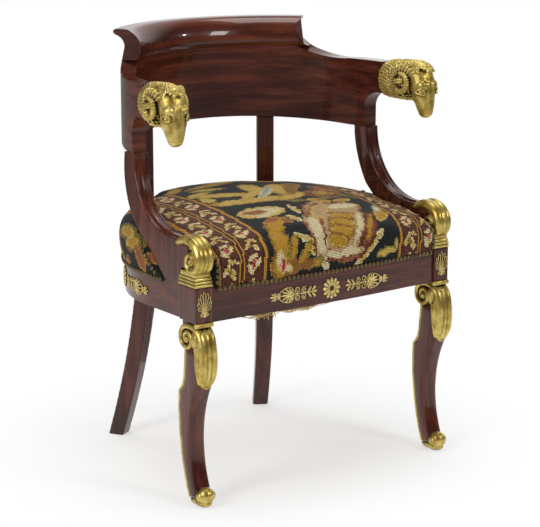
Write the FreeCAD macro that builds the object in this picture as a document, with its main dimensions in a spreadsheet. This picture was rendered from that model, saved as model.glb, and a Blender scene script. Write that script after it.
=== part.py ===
import FreeCAD, Part
import math
import os
import re
import Sketcher

Vector = FreeCAD.Vector

# Sizes in millimetres and degrees. The front faces -Y, +Z is up, and the origin lies on the floor
# under the middle of the chair. The tub is the half round of the back, about an upright axis.
SIZES = {
    # Back panel and crest
    "tub_centre_y": -67,
    "panel_radius": 286,
    "panel_thickness": 28,
    "panel_bottom_z": 613,
    "panel_rise": 14,
    "arm_top_z": 744,
    "arm_depth": 61,
    "arm_setback": 7,
    "hollow_radius": 32,
    "crest_joint_z": 764,
    "crest_height": 56,
    "crest_lobe": 20,
    "crest_roll": 22,
    "scoop_start": 90,
    "scoop_end": 203,
    "scoop_sweep": 43,
    "crest_dowel_angle": 25,
    # Seat rails
    "side_length": 164,
    "rail_bottom_z": 341,
    "rail_height": 64,
    "rail_thickness": 30,
    "rail_setback": 2,
    "front_rail_setback": 4,
    "front_rail_thickness": 28,
    "front_bow": 14,
    "tenon_thickness": 10,
    "tenon_shoulder": 10,
    "tenon_length": 20,
    "short_tenon_length": 12,
    "tenon_root": 18,
    "glue_gap": 0.1,
    "overcut": 1,
    # Front legs
    "post_width": 35,
    "post_depth": 54,
    "leg_width": 31,
    "knee_core_width": 23,
    "knee_drop": 53,
    "hock_drop": 134,
    "leaf_drop": 116,
    "knee_depth": 35,
    "thigh_depth": 56,
    "shank_depth": 52,
    "heel_depth": 27,
    "ankle_front": 8,
    "ankle_hollow": 26,
    "core_front": 6,
    "shin_swell": 2,
    "shin_fall": 4,
    "calf_swell": 4,
    "leaf_thickness": 14,
    "volute_radius": 26,
    "collar_height": 8,
    "edge_thickness": 4,
    "sole_height": 16,
    "sole_length": 50,
    "toe_radius": 16,
    # Rear legs
    "rear_leg_angle": 30.5,
    "rear_leg_width": 33,
    "rear_foot_width": 28,
    "rear_splay": 70,
    "upright_tenon_height": 26,
    "upright_tenon_width": 20,
    # Arm supports, caps and scrolls
    "support_width": 28,
    "support_setback": 51,
    "support_depth": 35,
    "support_foot": 51,
    "cap_step": 1.5,
    "cap_fillet_height": 14,
    "cap_plinth_height": 12,
    "scroll_neck": 49,
    "scroll_rise": 12,
    "dowel_diameter": 10,
    "dowel_length": 44,
    # Ram heads
    "head_length": 122,
    "head_width": 66,
    "head_turn": 6.6,
    "head_height": 68,
    "nose_drop": 55,
    "muzzle_radius": 16,
    "horn_radius": 17,
    "horn_thickness": 10,
    # Seat upholstery
    "seat_clearance": 1,
    "web_width": 50,
    "web_thickness": 1.5,
    "canvas_thickness": 1.2,
    "canvas_inset": 8,
    "cover_thickness": 3,
    "seat_crown": 100,
    "seat_edge_height": 62,
    "seat_edge_roll": 28,
    "seat_overhang": 6,
    "skirt_height": 10,
    "skirt_gap": 0.3,
    "web_pitch": 90,
    "lining_thickness": 1.2,
    "nail_pitch": 9.6,
    "nail_head_radius": 4.2,
    "nail_head_height": 2.6,
    "nail_shank_radius": 0.8,
    "nail_length": 11,
    # Corner blocks and their screws
    "block_size": 40,
    "block_height": 44,
    "screw_radius": 2.2,
    "screw_head_radius": 4.5,
    "screw_head_height": 2.5,
    "screw_bite": 14,
    # Gilt mounts
    "mount_thickness": 2.4,
    "spray_length": 104,
    "spray_height": 27,
    "spray_offset": 85,
    "rosette_radius": 20,
    "rosette_petals": 12,
    "palmette_width": 29,
    "palmette_height": 47,
    "side_spray_angle": 80,
    "side_rosette_angle": 63.5,
}

doc = FreeCAD.newDocument("DeskArmchair")
sheet = doc.addObject("Spreadsheet::Sheet", "Sizes")
for row, (alias, amount) in enumerate(SIZES.items(), start=1):
    sheet.set("A%d" % row, alias)
    sheet.set("B%d" % row, str(amount))
    sheet.setAlias("B%d" % row, alias)
doc.recompute()

# Places that many pieces share, as formulas on the sheet
FRONT = "(tub_centre_y - side_length)"
MIDDLE = "(panel_radius - panel_thickness / 2)"
PANEL_INSIDE = "(panel_radius - panel_thickness)"
RAIL_OUTSIDE = "(panel_radius - rail_setback)"
RAIL_INSIDE = "(panel_radius - rail_setback - rail_thickness)"
RAIL_TOP = "(rail_bottom_z + rail_height)"
POST_INSIDE = "(panel_radius - panel_thickness / 2 - post_width / 2)"
POST_BACK = "(tub_centre_y - side_length + post_depth)"
CAP_TOP = "(rail_bottom_z + rail_height + cap_fillet_height + cap_plinth_height)"
ARM_END = "(tub_centre_y + arm_setback)"
SUPPORT_FRONT = "(tub_centre_y + support_setback)"
SUPPORT_LOW = "(rail_bottom_z + rail_height + cap_fillet_height + cap_plinth_height + scroll_neck)"
SUPPORT_SWEEP = "(panel_bottom_z - %s)" % SUPPORT_LOW
FRONT_RAIL_FACE = "(tub_centre_y - side_length + front_rail_setback)"
CANVAS_BOTTOM = "(rail_bottom_z + rail_height + 2 * web_thickness)"
CANVAS_TOP = "(rail_bottom_z + rail_height + 2 * web_thickness + canvas_thickness)"
SIDES = {"left": -1, "right": 1}
nodes = []


def formula(text):
    """The expression for a text that uses the sizes' bare names."""
    return re.sub(r"[a-z][a-z_]*", lambda word: "Sizes." + word.group()
                  if word.group() in SIZES else word.group(), text)


def number(text):
    """What a formula comes to with the sheet's present sizes."""
    amount = sheet.evalExpression(formula(text))
    return float(getattr(amount, "Value", amount))


def node(part, label):
    """Marks a finished sub-part, and gives it the name of its file."""
    part.Label = label
    nodes.append(part)
    return part


def place(part, x="0", y="0", z="0", turn="0"):
    """Puts a part at a point, turned about the upright axis."""
    part.Placement = FreeCAD.Placement(Vector(), FreeCAD.Rotation(Vector(0, 0, 1), number(turn)))
    for axis, text in zip("xyz", (x, y, z)):
        part.setExpression("Placement.Base." + axis, formula(text))
    part.setExpression("Placement.Rotation.Angle", formula(turn))
    return part


def box(low, size, turn="0"):
    part = doc.addObject("Part::Box", "Box")
    for name, text in zip(("Length", "Width", "Height"), size):
        part.setExpression(name, formula(text))
    return place(part, *low, turn=turn)


def cylinder(radius, height, base, sweep="360", turn="0"):
    part = doc.addObject("Part::Cylinder", "Cylinder")
    for name, text in zip(("Radius", "Height", "Angle"), (radius, height, sweep)):
        part.setExpression(name, formula(text))
    return place(part, *base, turn=turn)


def rod(radius, length, base, axis):
    """A cylinder that lies along a horizontal axis, X or Y."""
    part = cylinder(radius, length, base)
    part.setExpression("Placement.Rotation.Angle", None)
    part.Placement.Rotation = FreeCAD.Rotation(Vector(0, 0, 1), axis)
    return part


def group(parts):
    part = doc.addObject("Part::Compound", "Group")
    part.Links = parts
    return part


def fuse(parts):
    part = doc.addObject("Part::MultiFuse", "Fused")
    part.Shapes = parts
    return part


def cut(base, *tools):
    part = doc.addObject("Part::Cut", "Cut")
    part.Base = base
    part.Tool = tools[0] if len(tools) == 1 else group(list(tools))
    return part


def common(base, tool):
    part = doc.addObject("Part::Common", "Common")
    part.Base = base
    part.Tool = tool
    return part


def solids(shapes):
    """A sub-part that is a set of separate solids."""
    part = doc.addObject("Part::Feature", "Solids")
    part.Shape = Part.makeCompound(shapes)
    return part


def body(x="0", y="0", z="0", turn="0"):
    return place(doc.addObject("PartDesign::Body", "Body"), x, y, z, turn)


def pin(sketch, geometry, position, point):
    """Ties a point of a sketch to a pair of formulas."""
    for kind, text in zip(("DistanceX", "DistanceY"), point):
        tie = Sketcher.Constraint(kind, -1, 1, geometry, position, number(text))
        sketch.setExpression("Constraints[%d]" % sketch.addConstraint(tie), formula(text))


def outline(owner, plane, corners, height="0"):
    """A closed sketch. A corner is a pair of formulas; one with two pairs starts an arc that
    passes through its second pair on the way to the next corner."""
    sketch = owner.newObject("Sketcher::SketchObject", "Outline")
    role = [feature for feature in owner.Origin.OriginFeatures if feature.Role == plane]
    sketch.AttachmentSupport = (role[0], "")
    sketch.MapMode = "FlatFace"
    sketch.setExpression("AttachmentOffset.Base.z", formula(height))
    points = [Vector(number(corner[0]), number(corner[1]), 0) for corner in corners]
    edges = []
    for index, corner in enumerate(corners):
        start = points[index]
        end = points[(index + 1) % len(points)]
        if len(corner) == 2:
            edges.append((sketch.addGeometry(Part.LineSegment(start, end)), 1, 2))
            continue
        through = Vector(number(corner[2]), number(corner[3]), 0)
        anticlockwise = (through - start).cross(end - start).z > 0
        ends = (start, end) if anticlockwise else (end, start)
        arc = sketch.addGeometry(Part.Arc(ends[0], through, ends[1]))
        edges.append((arc, 1, 2) if anticlockwise else (arc, 2, 1))
        mark = sketch.addGeometry(Part.Point(through), True)
        pin(sketch, mark, 1, corner[2:])
        sketch.addConstraint(Sketcher.Constraint("PointOnObject", mark, 1, arc))
    for index, corner in enumerate(corners):
        geometry, first, last = edges[index]
        before = edges[index - 1]
        sketch.addConstraint(Sketcher.Constraint("Coincident", before[0], before[2], geometry, first))
        pin(sketch, geometry, first, corner[:2])
    return sketch


def pad(owner, sketch, length, symmetric=True):
    feature = owner.newObject("PartDesign::Pad", "Pad")
    feature.Profile = sketch
    feature.setExpression("Length", formula(length))
    feature.SideType = "Symmetric" if symmetric else "One side"
    return feature


def side_shape(corners, width, x="0"):
    """A piece with a constant outline seen from the side, as wide as given about its place in X."""
    owner = body(x)
    pad(owner, outline(owner, "YZ_Plane", corners), width)
    return owner


def leg_box(side, near, far, start, stop, low, high):
    """A box in the frame of a rear leg: from and to a radius about the tub's axis, a distance
    from the leg's middle towards the side rail, and a height."""
    first = "-(%s)" % stop if side > 0 else start
    across = "%d * sin(rear_leg_angle * 1 deg)" % side
    along = "cos(rear_leg_angle * 1 deg)"
    corner = ("%s * (%s) - %s * (%s)" % (across, near, along, first),
              "tub_centre_y + %s * (%s) + %s * (%s)" % (along, near, across, first), low)
    size = ("%s - (%s)" % (far, near), "%s - (%s)" % (stop, start), "%s - (%s)" % (high, low))
    return box(corner, size, "90 - %d * rear_leg_angle" % side)


def seat_slab(inset, bottom, height):
    """The seat's plan, straight sides, round back and bowed front, drawn in from the rails'
    outside by an inset and made as high as given."""
    half = "(panel_radius - rail_setback - (%s))" % inset
    front = "(%s + %s)" % (FRONT_RAIL_FACE, inset)
    owner = body()
    corners = [("-" + half, front, "0", "%s - front_bow" % front),
               (half, front),
               (half, "tub_centre_y", "0", "tub_centre_y + " + half),
               ("-" + half, "tub_centre_y")]
    pad(owner, outline(owner, "XY_Plane", corners, bottom), height, symmetric=False)
    return owner


# Back panel: a half round of veneered wood with level arms, a hollow under each arm's end
PANEL_FLAT = "(tub_centre_y + support_setback + support_depth)"
PANEL_BACK = "(tub_centre_y + panel_radius + overcut)"
hollow_top = "(arm_top_z - arm_depth)"
panel_side = [
    (ARM_END, hollow_top),
    ("%s - hollow_radius" % SUPPORT_FRONT, hollow_top,
     "%s - hollow_radius * (1 - sqrt(0.5))" % SUPPORT_FRONT,
     "%s - hollow_radius * (1 - sqrt(0.5))" % hollow_top),
    (SUPPORT_FRONT, "%s - hollow_radius" % hollow_top),
    (SUPPORT_FRONT, "panel_bottom_z"),
    (PANEL_FLAT, "panel_bottom_z"),
    (PANEL_BACK, "panel_bottom_z + panel_rise"),
    (PANEL_BACK, "crest_joint_z"),
    (ARM_END, "crest_joint_z")]
panel_zone = side_shape(panel_side, "2 * (panel_radius + overcut)")

# The scoop between the level arms and the end of the crest, cut from the panel and the crest
CREST_TOP = "(crest_joint_z + crest_height)"
SCOOP_END = "(tub_centre_y + scoop_end)"
SCOOP_START = "(tub_centre_y + scoop_start)"
scoop_side = [
    ("tub_centre_y - overcut", "arm_top_z"),
    (SCOOP_START, "arm_top_z",
     "%s + (scoop_end - scoop_start) * 0.55" % SCOOP_START, "arm_top_z + scoop_sweep * 0.13"),
    ("%s - scoop_sweep * 0.67" % SCOOP_END, "arm_top_z + scoop_sweep * 0.33",
     "%s - scoop_sweep * 0.22" % SCOOP_END, "arm_top_z + scoop_sweep * 0.75"),
    (SCOOP_END, "arm_top_z + scoop_sweep * 1.3"),
    (SCOOP_END, CREST_TOP + " + overcut"),
    ("tub_centre_y - overcut", CREST_TOP + " + overcut")]
scoop = side_shape(scoop_side, "2 * (panel_radius + crest_lobe + overcut)")

tub = ("0", "tub_centre_y", "panel_bottom_z")
panel_height = "crest_joint_z - panel_bottom_z"
panel_ring = cut(cylinder("panel_radius", panel_height, tub, "180"),
                 cylinder(PANEL_INSIDE, panel_height, tub))
panel_blank = cut(common(panel_ring, panel_zone), scoop)

# Crest rail: turned over outwards in a rolled lip, doweled on top of the panel
crest_body = body(y="tub_centre_y")
crest_section = [
    (PANEL_INSIDE, "crest_joint_z"),
    ("panel_radius", "crest_joint_z"),
    ("panel_radius", CREST_TOP + " - crest_lobe * 1.8",
     "panel_radius + crest_lobe * 0.22", CREST_TOP + " - crest_lobe * 1.08"),
    ("panel_radius + crest_lobe * 0.75", CREST_TOP + " - crest_lobe * 0.62",
     "panel_radius + crest_lobe", CREST_TOP + " - crest_lobe * 0.3"),
    ("panel_radius + crest_lobe * 0.75", CREST_TOP),
    (PANEL_INSIDE + " + crest_roll", CREST_TOP,
     PANEL_INSIDE + " + crest_roll * 0.25", CREST_TOP + " - crest_roll * 0.66"),
    (PANEL_INSIDE, CREST_TOP + " - crest_roll * 1.6")]
crest_turn = crest_body.newObject("PartDesign::Revolution", "Turn")
crest_turn.Profile = outline(crest_body, "XZ_Plane", crest_section)
crest_turn.ReferenceAxis = (crest_turn.Profile[0], ["V_Axis"])
crest_turn.Angle = 180


def upright_dowel(x, y, middle):
    """A glued dowel about a height, and the hole that it needs."""
    low = "%s - dowel_length / 2" % middle
    peg = cylinder("dowel_diameter / 2", "dowel_length", (x, y, low))
    hole = cylinder("dowel_diameter / 2 + glue_gap", "dowel_length + 2 * glue_gap",
                    (x, y, low + " - glue_gap"))
    return peg, hole


crest_pegs = [upright_dowel("%s * sin(%d * crest_dowel_angle * 1 deg)" % (MIDDLE, step),
                            "tub_centre_y + %s * cos(%d * crest_dowel_angle * 1 deg)" % (MIDDLE, step),
                            "crest_joint_z") for step in (-1, 0, 1)]
crest_holes = [hole for peg, hole in crest_pegs]
node(cut(crest_body, scoop, *crest_holes), "crest_rail")
node(group([peg for peg, hole in crest_pegs]), "crest_dowels")

# Seat rails: sawn to the tub's curve and tenoned into the legs
RAIL_MIDDLE = "(panel_radius - rail_setback - rail_thickness / 2)"
TENON_LOW = "(rail_bottom_z + tenon_shoulder)"
TENON_HIGH = "(rail_bottom_z + rail_height - tenon_shoulder)"
FRONT_TENON_Y = "(%s + front_rail_thickness / 2 - tenon_thickness / 2)" % FRONT_RAIL_FACE
tub_at_rail = ("0", "tub_centre_y", "rail_bottom_z")


def loose(low, size):
    """The mortise for a tenon: its box with room for glue on every side."""
    corner = ["%s - glue_gap" % text for text in low]
    return box(corner, ["%s + 2 * glue_gap" % text for text in size])


def rail_arc(sweep, turn):
    return cut(cylinder(RAIL_OUTSIDE, "rail_height", tub_at_rail, sweep, turn),
               cylinder(RAIL_INSIDE, "rail_height", tub_at_rail))


def rail_stop(side):
    """What a rear leg takes out of the ring of the rails."""
    return leg_box(side, RAIL_INSIDE + " - overcut", "panel_radius + overcut",
                   "-rear_leg_width / 2 - glue_gap", "rear_leg_width / 2 + glue_gap",
                   "rail_bottom_z - overcut", RAIL_TOP + " + overcut")


def leg_tenon(side, towards_side_rail, room="0"):
    start = "rear_leg_width / 2 - short_tenon_length - %s" % room
    stop = "rear_leg_width / 2 + tenon_root"
    if not towards_side_rail:
        start, stop = "-(%s)" % stop, "-(%s)" % start
    return leg_box(side, "%s - tenon_thickness / 2 - %s" % (RAIL_MIDDLE, room),
                   "%s + tenon_thickness / 2 + %s" % (RAIL_MIDDLE, room), start, stop,
                   "%s - %s" % (TENON_LOW, room), "%s + %s" % (TENON_HIGH, room))


front_rail_body = body()
front_rail_half = POST_INSIDE + " - glue_gap"
FRONT_RAIL_BACK = "(%s + front_rail_thickness)" % FRONT_RAIL_FACE
front_rail_plan = [
    ("-(%s)" % front_rail_half, FRONT_RAIL_FACE, "0", FRONT_RAIL_FACE + " - front_bow"),
    (front_rail_half, FRONT_RAIL_FACE),
    (front_rail_half, FRONT_RAIL_BACK),
    ("-(%s)" % front_rail_half, FRONT_RAIL_BACK)]
pad(front_rail_body, outline(front_rail_body, "XY_Plane", front_rail_plan, "rail_bottom_z"),
    "rail_height", symmetric=False)
front_tenon_low = ("-(%s + tenon_length)" % POST_INSIDE, FRONT_TENON_Y, TENON_LOW)
front_tenon_size = ("2 * (%s + tenon_length)" % POST_INSIDE, "tenon_thickness",
                    "rail_height - 2 * tenon_shoulder")
front_rail = fuse([front_rail_body, box(front_tenon_low, front_tenon_size)])
front_mortises = loose(front_tenon_low, front_tenon_size)

rear_rail = fuse([cut(rail_arc("2 * rear_leg_angle", "90 - rear_leg_angle"), rail_stop(-1), rail_stop(1)),
                  leg_tenon(-1, False), leg_tenon(1, False)])

side_rails = {}
side_mortises = {}
for name, side in SIDES.items():
    straight_x = RAIL_INSIDE if side > 0 else "-" + RAIL_OUTSIDE
    straight = box((straight_x, POST_BACK + " + glue_gap", "rail_bottom_z"),
                   ("rail_thickness", "side_length - post_depth - glue_gap", "rail_height"))
    arc = rail_arc("90 - rear_leg_angle", "0" if side > 0 else "90 + rear_leg_angle")
    tenon_low = ("%d * %s - tenon_thickness / 2" % (side, RAIL_MIDDLE),
                 POST_BACK + " - tenon_length", TENON_LOW)
    tenon_size = ("tenon_thickness", "tenon_length + tenon_root", "rail_height - 2 * tenon_shoulder")
    side_rails[name] = fuse([straight, cut(arc, rail_stop(side)), box(tenon_low, tenon_size),
                             leg_tenon(side, True)])
    side_mortises[name] = loose(tenon_low, tenon_size)

# Rear legs: sabre legs that run up as the back's uprights, tenoned under the panel
upright_mortises = []
FLOOR_INSIDE = "(%s + rear_splay)" % PANEL_INSIDE
UPRIGHT_TOP = "(panel_bottom_z + 2 * panel_rise)"
rear_leg_side = [
    (FLOOR_INSIDE, "0"),
    (FLOOR_INSIDE + " + rear_foot_width", "0",
     "panel_radius + rear_splay * 0.46", "rail_bottom_z / 2"),
    ("panel_radius", "rail_bottom_z"),
    ("panel_radius", UPRIGHT_TOP),
    (PANEL_INSIDE, UPRIGHT_TOP),
    (PANEL_INSIDE, "rail_bottom_z", PANEL_INSIDE + " + rear_splay * 0.44", "rail_bottom_z / 2")]


def upright_tenon(side, room="0"):
    half = "upright_tenon_width / 2 + %s" % room
    return leg_box(side, "%s - tenon_thickness / 2 - %s" % (MIDDLE, room),
                   "%s + tenon_thickness / 2 + %s" % (MIDDLE, room), "-(%s)" % half, half,
                   "panel_bottom_z - overcut",
                   "panel_bottom_z + panel_rise + upright_tenon_height + %s" % room)


for name, side in SIDES.items():
    frame = {"y": "tub_centre_y", "turn": "90 - %d * rear_leg_angle" % side}
    blank = body(**frame)
    pad(blank, outline(blank, "XZ_Plane", rear_leg_side), "rear_leg_width")
    tapers = []
    for cheek in (-1, 1):
        taper = body(**frame)
        edge = "%d * rear_leg_width / 2" % cheek
        wedge = [(edge, "rail_bottom_z"), ("%d * rear_foot_width / 2" % cheek, "0"),
                 ("%s + %d" % (edge, cheek), "0"), ("%s + %d" % (edge, cheek), "rail_bottom_z")]
        pad(taper, outline(taper, "YZ_Plane", wedge), "4 * panel_radius")
        tapers.append(taper)
    leg = fuse([cut(blank, panel_zone, *tapers), upright_tenon(side)])
    node(cut(leg, leg_tenon(side, True, "glue_gap"), leg_tenon(side, False, "glue_gap")), "rear_leg_" + name)
    upright_mortises.append(upright_tenon(side, "glue_gap"))

# Front legs: a square post over an animal leg, with a gilt knee, edge and foot
KNEE = "(rail_bottom_z - knee_drop)"
HOCK = "(rail_bottom_z - hock_drop)"
LEAF = "(rail_bottom_z - leaf_drop)"
CORE_BACK = "(tub_centre_y - side_length + shank_depth)"
TOE = FRONT


def reverse(corners):
    """The same run of corners and arcs, taken from its far end."""
    ends = [corner[:2] for corner in corners]
    arcs = [corner[2:] for corner in corners]
    return [ends[index] + arcs[index - 1] for index in range(len(corners) - 1, 0, -1)] + [ends[0]]


def leg_back(shift):
    """The leg's back edge from the knee over the hock to the heel, moved back by a shift."""
    back = "%s + %s + " % (FRONT, shift)
    return [(back + "knee_depth", KNEE),
            (back + "knee_depth + calf_swell", "(%s + %s) / 2" % (KNEE, HOCK),
             back + "(knee_depth + thigh_depth) / 2", "%s + hock_drop / 10" % HOCK),
            (back + "thigh_depth", HOCK, back + "shank_depth", "(%s + sole_height) / 2" % HOCK),
            (back + "heel_depth", "sole_height")]


leg_front = [
    (FRONT + " + ankle_front", "sole_height"),
    (FRONT + " + ankle_front", "sole_height * 2",
     FRONT + " + ankle_hollow", "(sole_height * 2 + %s) / 2" % LEAF),
    (FRONT, LEAF),
    (FRONT + " - shin_swell", "(%s + %s) / 2" % (LEAF, KNEE)),
    (FRONT + " + shin_fall", KNEE)]
knee_side = [
    (FRONT + " - glue_gap", LEAF, FRONT + " - leaf_thickness * 0.75", LEAF + " + leaf_thickness * 0.7"),
    (FRONT + " - leaf_thickness", "(%s + %s) / 2" % (LEAF, KNEE),
     FRONT + " - leaf_thickness * 0.8", KNEE + " + volute_radius * 0.8"),
    (FRONT + " + core_front", "rail_bottom_z - collar_height - glue_gap"),
    (FRONT + " + knee_depth", KNEE + " + volute_radius * 2",
     FRONT + " + knee_depth + volute_radius", KNEE + " + volute_radius"),
    (FRONT + " + knee_depth", KNEE + " + glue_gap"),
    (FRONT + " + shin_fall - glue_gap", KNEE + " + glue_gap"),
    (FRONT + " - shin_swell - glue_gap", "(%s + %s) / 2" % (LEAF, KNEE))]
collar_low = "(rail_bottom_z - collar_height)"
collar_side = [
    (FRONT + " + core_front - glue_gap", collar_low),
    (FRONT + " + core_front - glue_gap", "rail_bottom_z"),
    (FRONT, "rail_bottom_z", FRONT + " - collar_height / 2", "rail_bottom_z - collar_height / 2"),
    (FRONT, collar_low)]
sole_side = [
    (TOE + " - toe_radius * 0.75", "0"),
    (TOE + " - toe_radius * 0.75 + sole_length", "0"),
    (TOE + " - toe_radius * 0.75 + sole_length + overcut", "sole_height / 3"),
    (FRONT + " + heel_depth + edge_thickness + 2 * glue_gap", "sole_height"),
    (TOE + " - toe_radius * 0.5", "sole_height")]

scroll_pegs = []
for name, side in SIDES.items():
    x = "%d * %s" % (side, MIDDLE)
    post = box((x + " - post_width / 2", FRONT, "rail_bottom_z"),
               ("post_width", "post_depth", "rail_height"))
    core = box((x + " - knee_core_width / 2", FRONT + " + core_front", KNEE),
               ("knee_core_width", "shank_depth - core_front", "knee_drop"))
    shank = side_shape(leg_back("0") + leg_front, "leg_width", x)
    peg, hole = upright_dowel(x, "%s + post_depth / 2" % FRONT,
                              "(%s + %s) / 2" % (RAIL_TOP, CAP_TOP))
    scroll_pegs.append((peg, hole))
    node(cut(fuse([post, core, shank]), front_mortises, side_mortises[name], hole), "front_leg_" + name)
    core_room = box((x + " - knee_core_width / 2 - glue_gap", FRONT + " + core_front - glue_gap", KNEE),
                    ("knee_core_width + 2 * glue_gap", "2 * post_depth", "knee_drop"))
    node(cut(side_shape(knee_side, "post_width", x), core_room), "knee_scroll_" + name)
    node(side_shape(collar_side, "post_width", x), "leg_collar_" + name)
    strip = leg_back("glue_gap") + reverse(leg_back("glue_gap + edge_thickness"))
    node(side_shape(strip, "leg_width", x), "leg_edge_" + name)
    ball = doc.addObject("Part::Sphere", "Ball")
    ball.setExpression("Radius", formula("toe_radius"))
    place(ball, x, TOE, "sole_height * 1.5")
    ankle_room = box((x + " - post_width", FRONT + " + ankle_front - glue_gap", "sole_height"),
                     ("2 * post_width", "2 * toe_radius", "3 * toe_radius"))
    node(cut(fuse([side_shape(sole_side, "leg_width", x), ball]), ankle_room), "front_foot_" + name)

# Caps and scrolls on the posts, and the arm supports that sweep from them up to the panel
CAP_BACK = "(%s + cap_step)" % POST_BACK
SCROLL_BACK = "(%s - 2 * cap_step)" % POST_BACK
SCROLL_RADIUS = "((%s + scroll_rise - %s) / 2)" % (SUPPORT_LOW, CAP_TOP)
SCROLL_Y = "(%s - glue_gap - %s)" % (SCROLL_BACK, SCROLL_RADIUS)
DIAGONAL = "sqrt(0.5)"


def support_side(room="0"):
    """The side view of an arm support, with room added behind it."""
    sweep_y = "(%s - %s)" % (SUPPORT_FRONT, SUPPORT_SWEEP)
    return [
        (SUPPORT_FRONT, "panel_bottom_z",
         "%s + %s * %s" % (sweep_y, SUPPORT_SWEEP, DIAGONAL),
         "panel_bottom_z - %s * %s" % (SUPPORT_SWEEP, DIAGONAL)),
        (sweep_y, SUPPORT_LOW),
        (SCROLL_BACK, SUPPORT_LOW),
        (SCROLL_BACK, CAP_TOP),
        (CAP_BACK + " + glue_gap", CAP_TOP),
        (CAP_BACK + " + glue_gap", RAIL_TOP),
        ("%s + support_foot + %s" % (CAP_BACK, room), RAIL_TOP),
        ("%s + %s" % (SUPPORT_FRONT, room), "panel_bottom_z - %s * 0.85" % SUPPORT_SWEEP,
         "%s + support_depth * 0.68 + %s" % (SUPPORT_FRONT, room),
         "panel_bottom_z - %s * 0.5" % SUPPORT_SWEEP),
        ("%s + support_depth + %s" % (SUPPORT_FRONT, room), "panel_bottom_z")]


def round_scroll(share, height):
    """A point of the scroll, in shares of its radius from its middle and from the cap."""
    return ("%s + %s * %s" % (SCROLL_Y, SCROLL_RADIUS, share),
            "%s + %s * %s" % (CAP_TOP, SCROLL_RADIUS, height))


scroll_side = [
    round_scroll("-0.7", "0"),
    (SCROLL_BACK + " - glue_gap", CAP_TOP),
    (SCROLL_BACK + " - glue_gap", SUPPORT_LOW) + round_scroll("0.6", "1.85"),
    round_scroll("0", "2") + round_scroll("-" + DIAGONAL, "(1 + %s)" % DIAGONAL),
    round_scroll("-1", "1") + round_scroll("-0.94", "0.45")]
arm_pegs = []
for name, side in SIDES.items():
    x = "%d * %s" % (side, MIDDLE)
    scroll_hole = scroll_pegs[0 if side < 0 else 1][1]
    layers = []
    for layer, step in enumerate(("cap_step", "0", "cap_step")):
        layers.append(box(("%s - post_width / 2 - %s" % (x, step), "%s - %s" % (FRONT, step),
                           "%s + cap_fillet_height / 3 * %d" % (RAIL_TOP, layer)),
                          ("post_width + 2 * %s" % step, "post_depth + 2 * %s" % step,
                           "cap_fillet_height / 3")))
    layers.append(box((x + " - post_width / 2", FRONT, RAIL_TOP + " + cap_fillet_height"),
                      ("post_width", "post_depth", "cap_plinth_height")))
    node(cut(fuse(layers), scroll_hole), "post_cap_" + name)
    eye_y, eye_z = round_scroll("0.1", "0.8")
    eye = rod(SCROLL_RADIUS + " / 4", "post_width + 2 * cap_step",
              ("%s - post_width / 2 - cap_step" % x, eye_y, eye_z), Vector(1, 0, 0))
    node(cut(fuse([side_shape(scroll_side, "post_width", x), eye]), scroll_hole), "arm_scroll_" + name)
    top = upright_dowel(x, "%s + support_depth / 2" % SUPPORT_FRONT, "panel_bottom_z")
    foot = upright_dowel(x, "%s + support_foot / 2" % CAP_BACK, RAIL_TOP)
    arm_pegs += [top, foot]
    node(cut(side_shape(support_side(), "support_width", x), top[1], foot[1]), "arm_support_" + name)
    side_rails[name] = cut(side_rails[name], foot[1])
node(group([peg for peg, hole in scroll_pegs]), "scroll_dowels")
node(group([peg for peg, hole in arm_pegs]), "arm_dowels")

# Ram heads: gilt carvings on the ends of the arms, turned outwards a little, each on a level dowel
HEAD_Z = "(arm_top_z - arm_depth / 2)"
SKULL_Y = "(-head_length * 0.57)"
NOSE_Y = "(muzzle_radius - head_length)"
NOSE_Z = "(%s - nose_drop)" % HEAD_Z


def ball(radius, y, z):
    part = doc.addObject("Part::Sphere", "Ball")
    part.setExpression("Radius", formula(radius))
    return place(part, "0", y, z)


def aim(part, way):
    """Points the axis of a part along a way."""
    part.setExpression("Placement.Rotation.Angle", None)
    part.Placement.Rotation = FreeCAD.Rotation(Vector(0, 0, 1), way)
    return part


head_pegs = []
head_holes = []
for name, side in SIDES.items():
    x = "%d * %s" % (side, MIDDLE)
    muzzle = doc.addObject("Part::Cone", "Muzzle")
    fall = Vector(0, number("%s - %s" % (NOSE_Y, SKULL_Y)), number("%s - %s" % (NOSE_Z, HEAD_Z)))
    muzzle.setExpression("Radius1", formula("head_height * 0.42"))
    muzzle.setExpression("Radius2", formula("muzzle_radius * 0.9"))
    muzzle.Height = fall.Length
    lumps = [ball("head_height / 2", SKULL_Y, "arm_top_z - head_height * 0.4"),
             ball("muzzle_radius", NOSE_Y, NOSE_Z),
             aim(place(muzzle, "0", SKULL_Y, HEAD_Z), fall)]
    for cheek in (-1, 1):
        horn = doc.addObject("Part::Torus", "Horn")
        horn.setExpression("Radius1", formula("horn_radius"))
        horn.setExpression("Radius2", formula("horn_thickness"))
        place(horn, "%d * (head_width / 2 - horn_thickness / 2)" % cheek, SKULL_Y, HEAD_Z)
        lumps.append(aim(horn, Vector(cheek, 0, 0)))
    head = place(fuse(lumps), x, ARM_END, "0", "%d * head_turn" % side)
    neck = box((x + " - panel_thickness / 2", ARM_END + " - head_length * 0.45", "arm_top_z - arm_depth"),
               ("panel_thickness", "head_length * 0.45", "arm_depth"))
    peg_base = (x, ARM_END + " - dowel_length / 2", HEAD_Z)
    head_pegs.append(rod("dowel_diameter / 2", "dowel_length", peg_base, Vector(0, 1, 0)))
    hole = rod("dowel_diameter / 2 + glue_gap", "dowel_length + 2 * glue_gap",
               (x, peg_base[1] + " - glue_gap", HEAD_Z), Vector(0, 1, 0))
    head_holes.append(hole)
    node(cut(fuse([head, neck]), hole), "ram_head_" + name)
node(group(head_pegs), "ram_head_dowels")
panel_holes = crest_holes + upright_mortises + head_holes + [arm_pegs[0][1], arm_pegs[2][1]]
node(cut(panel_blank, *panel_holes), "back_panel")

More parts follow.
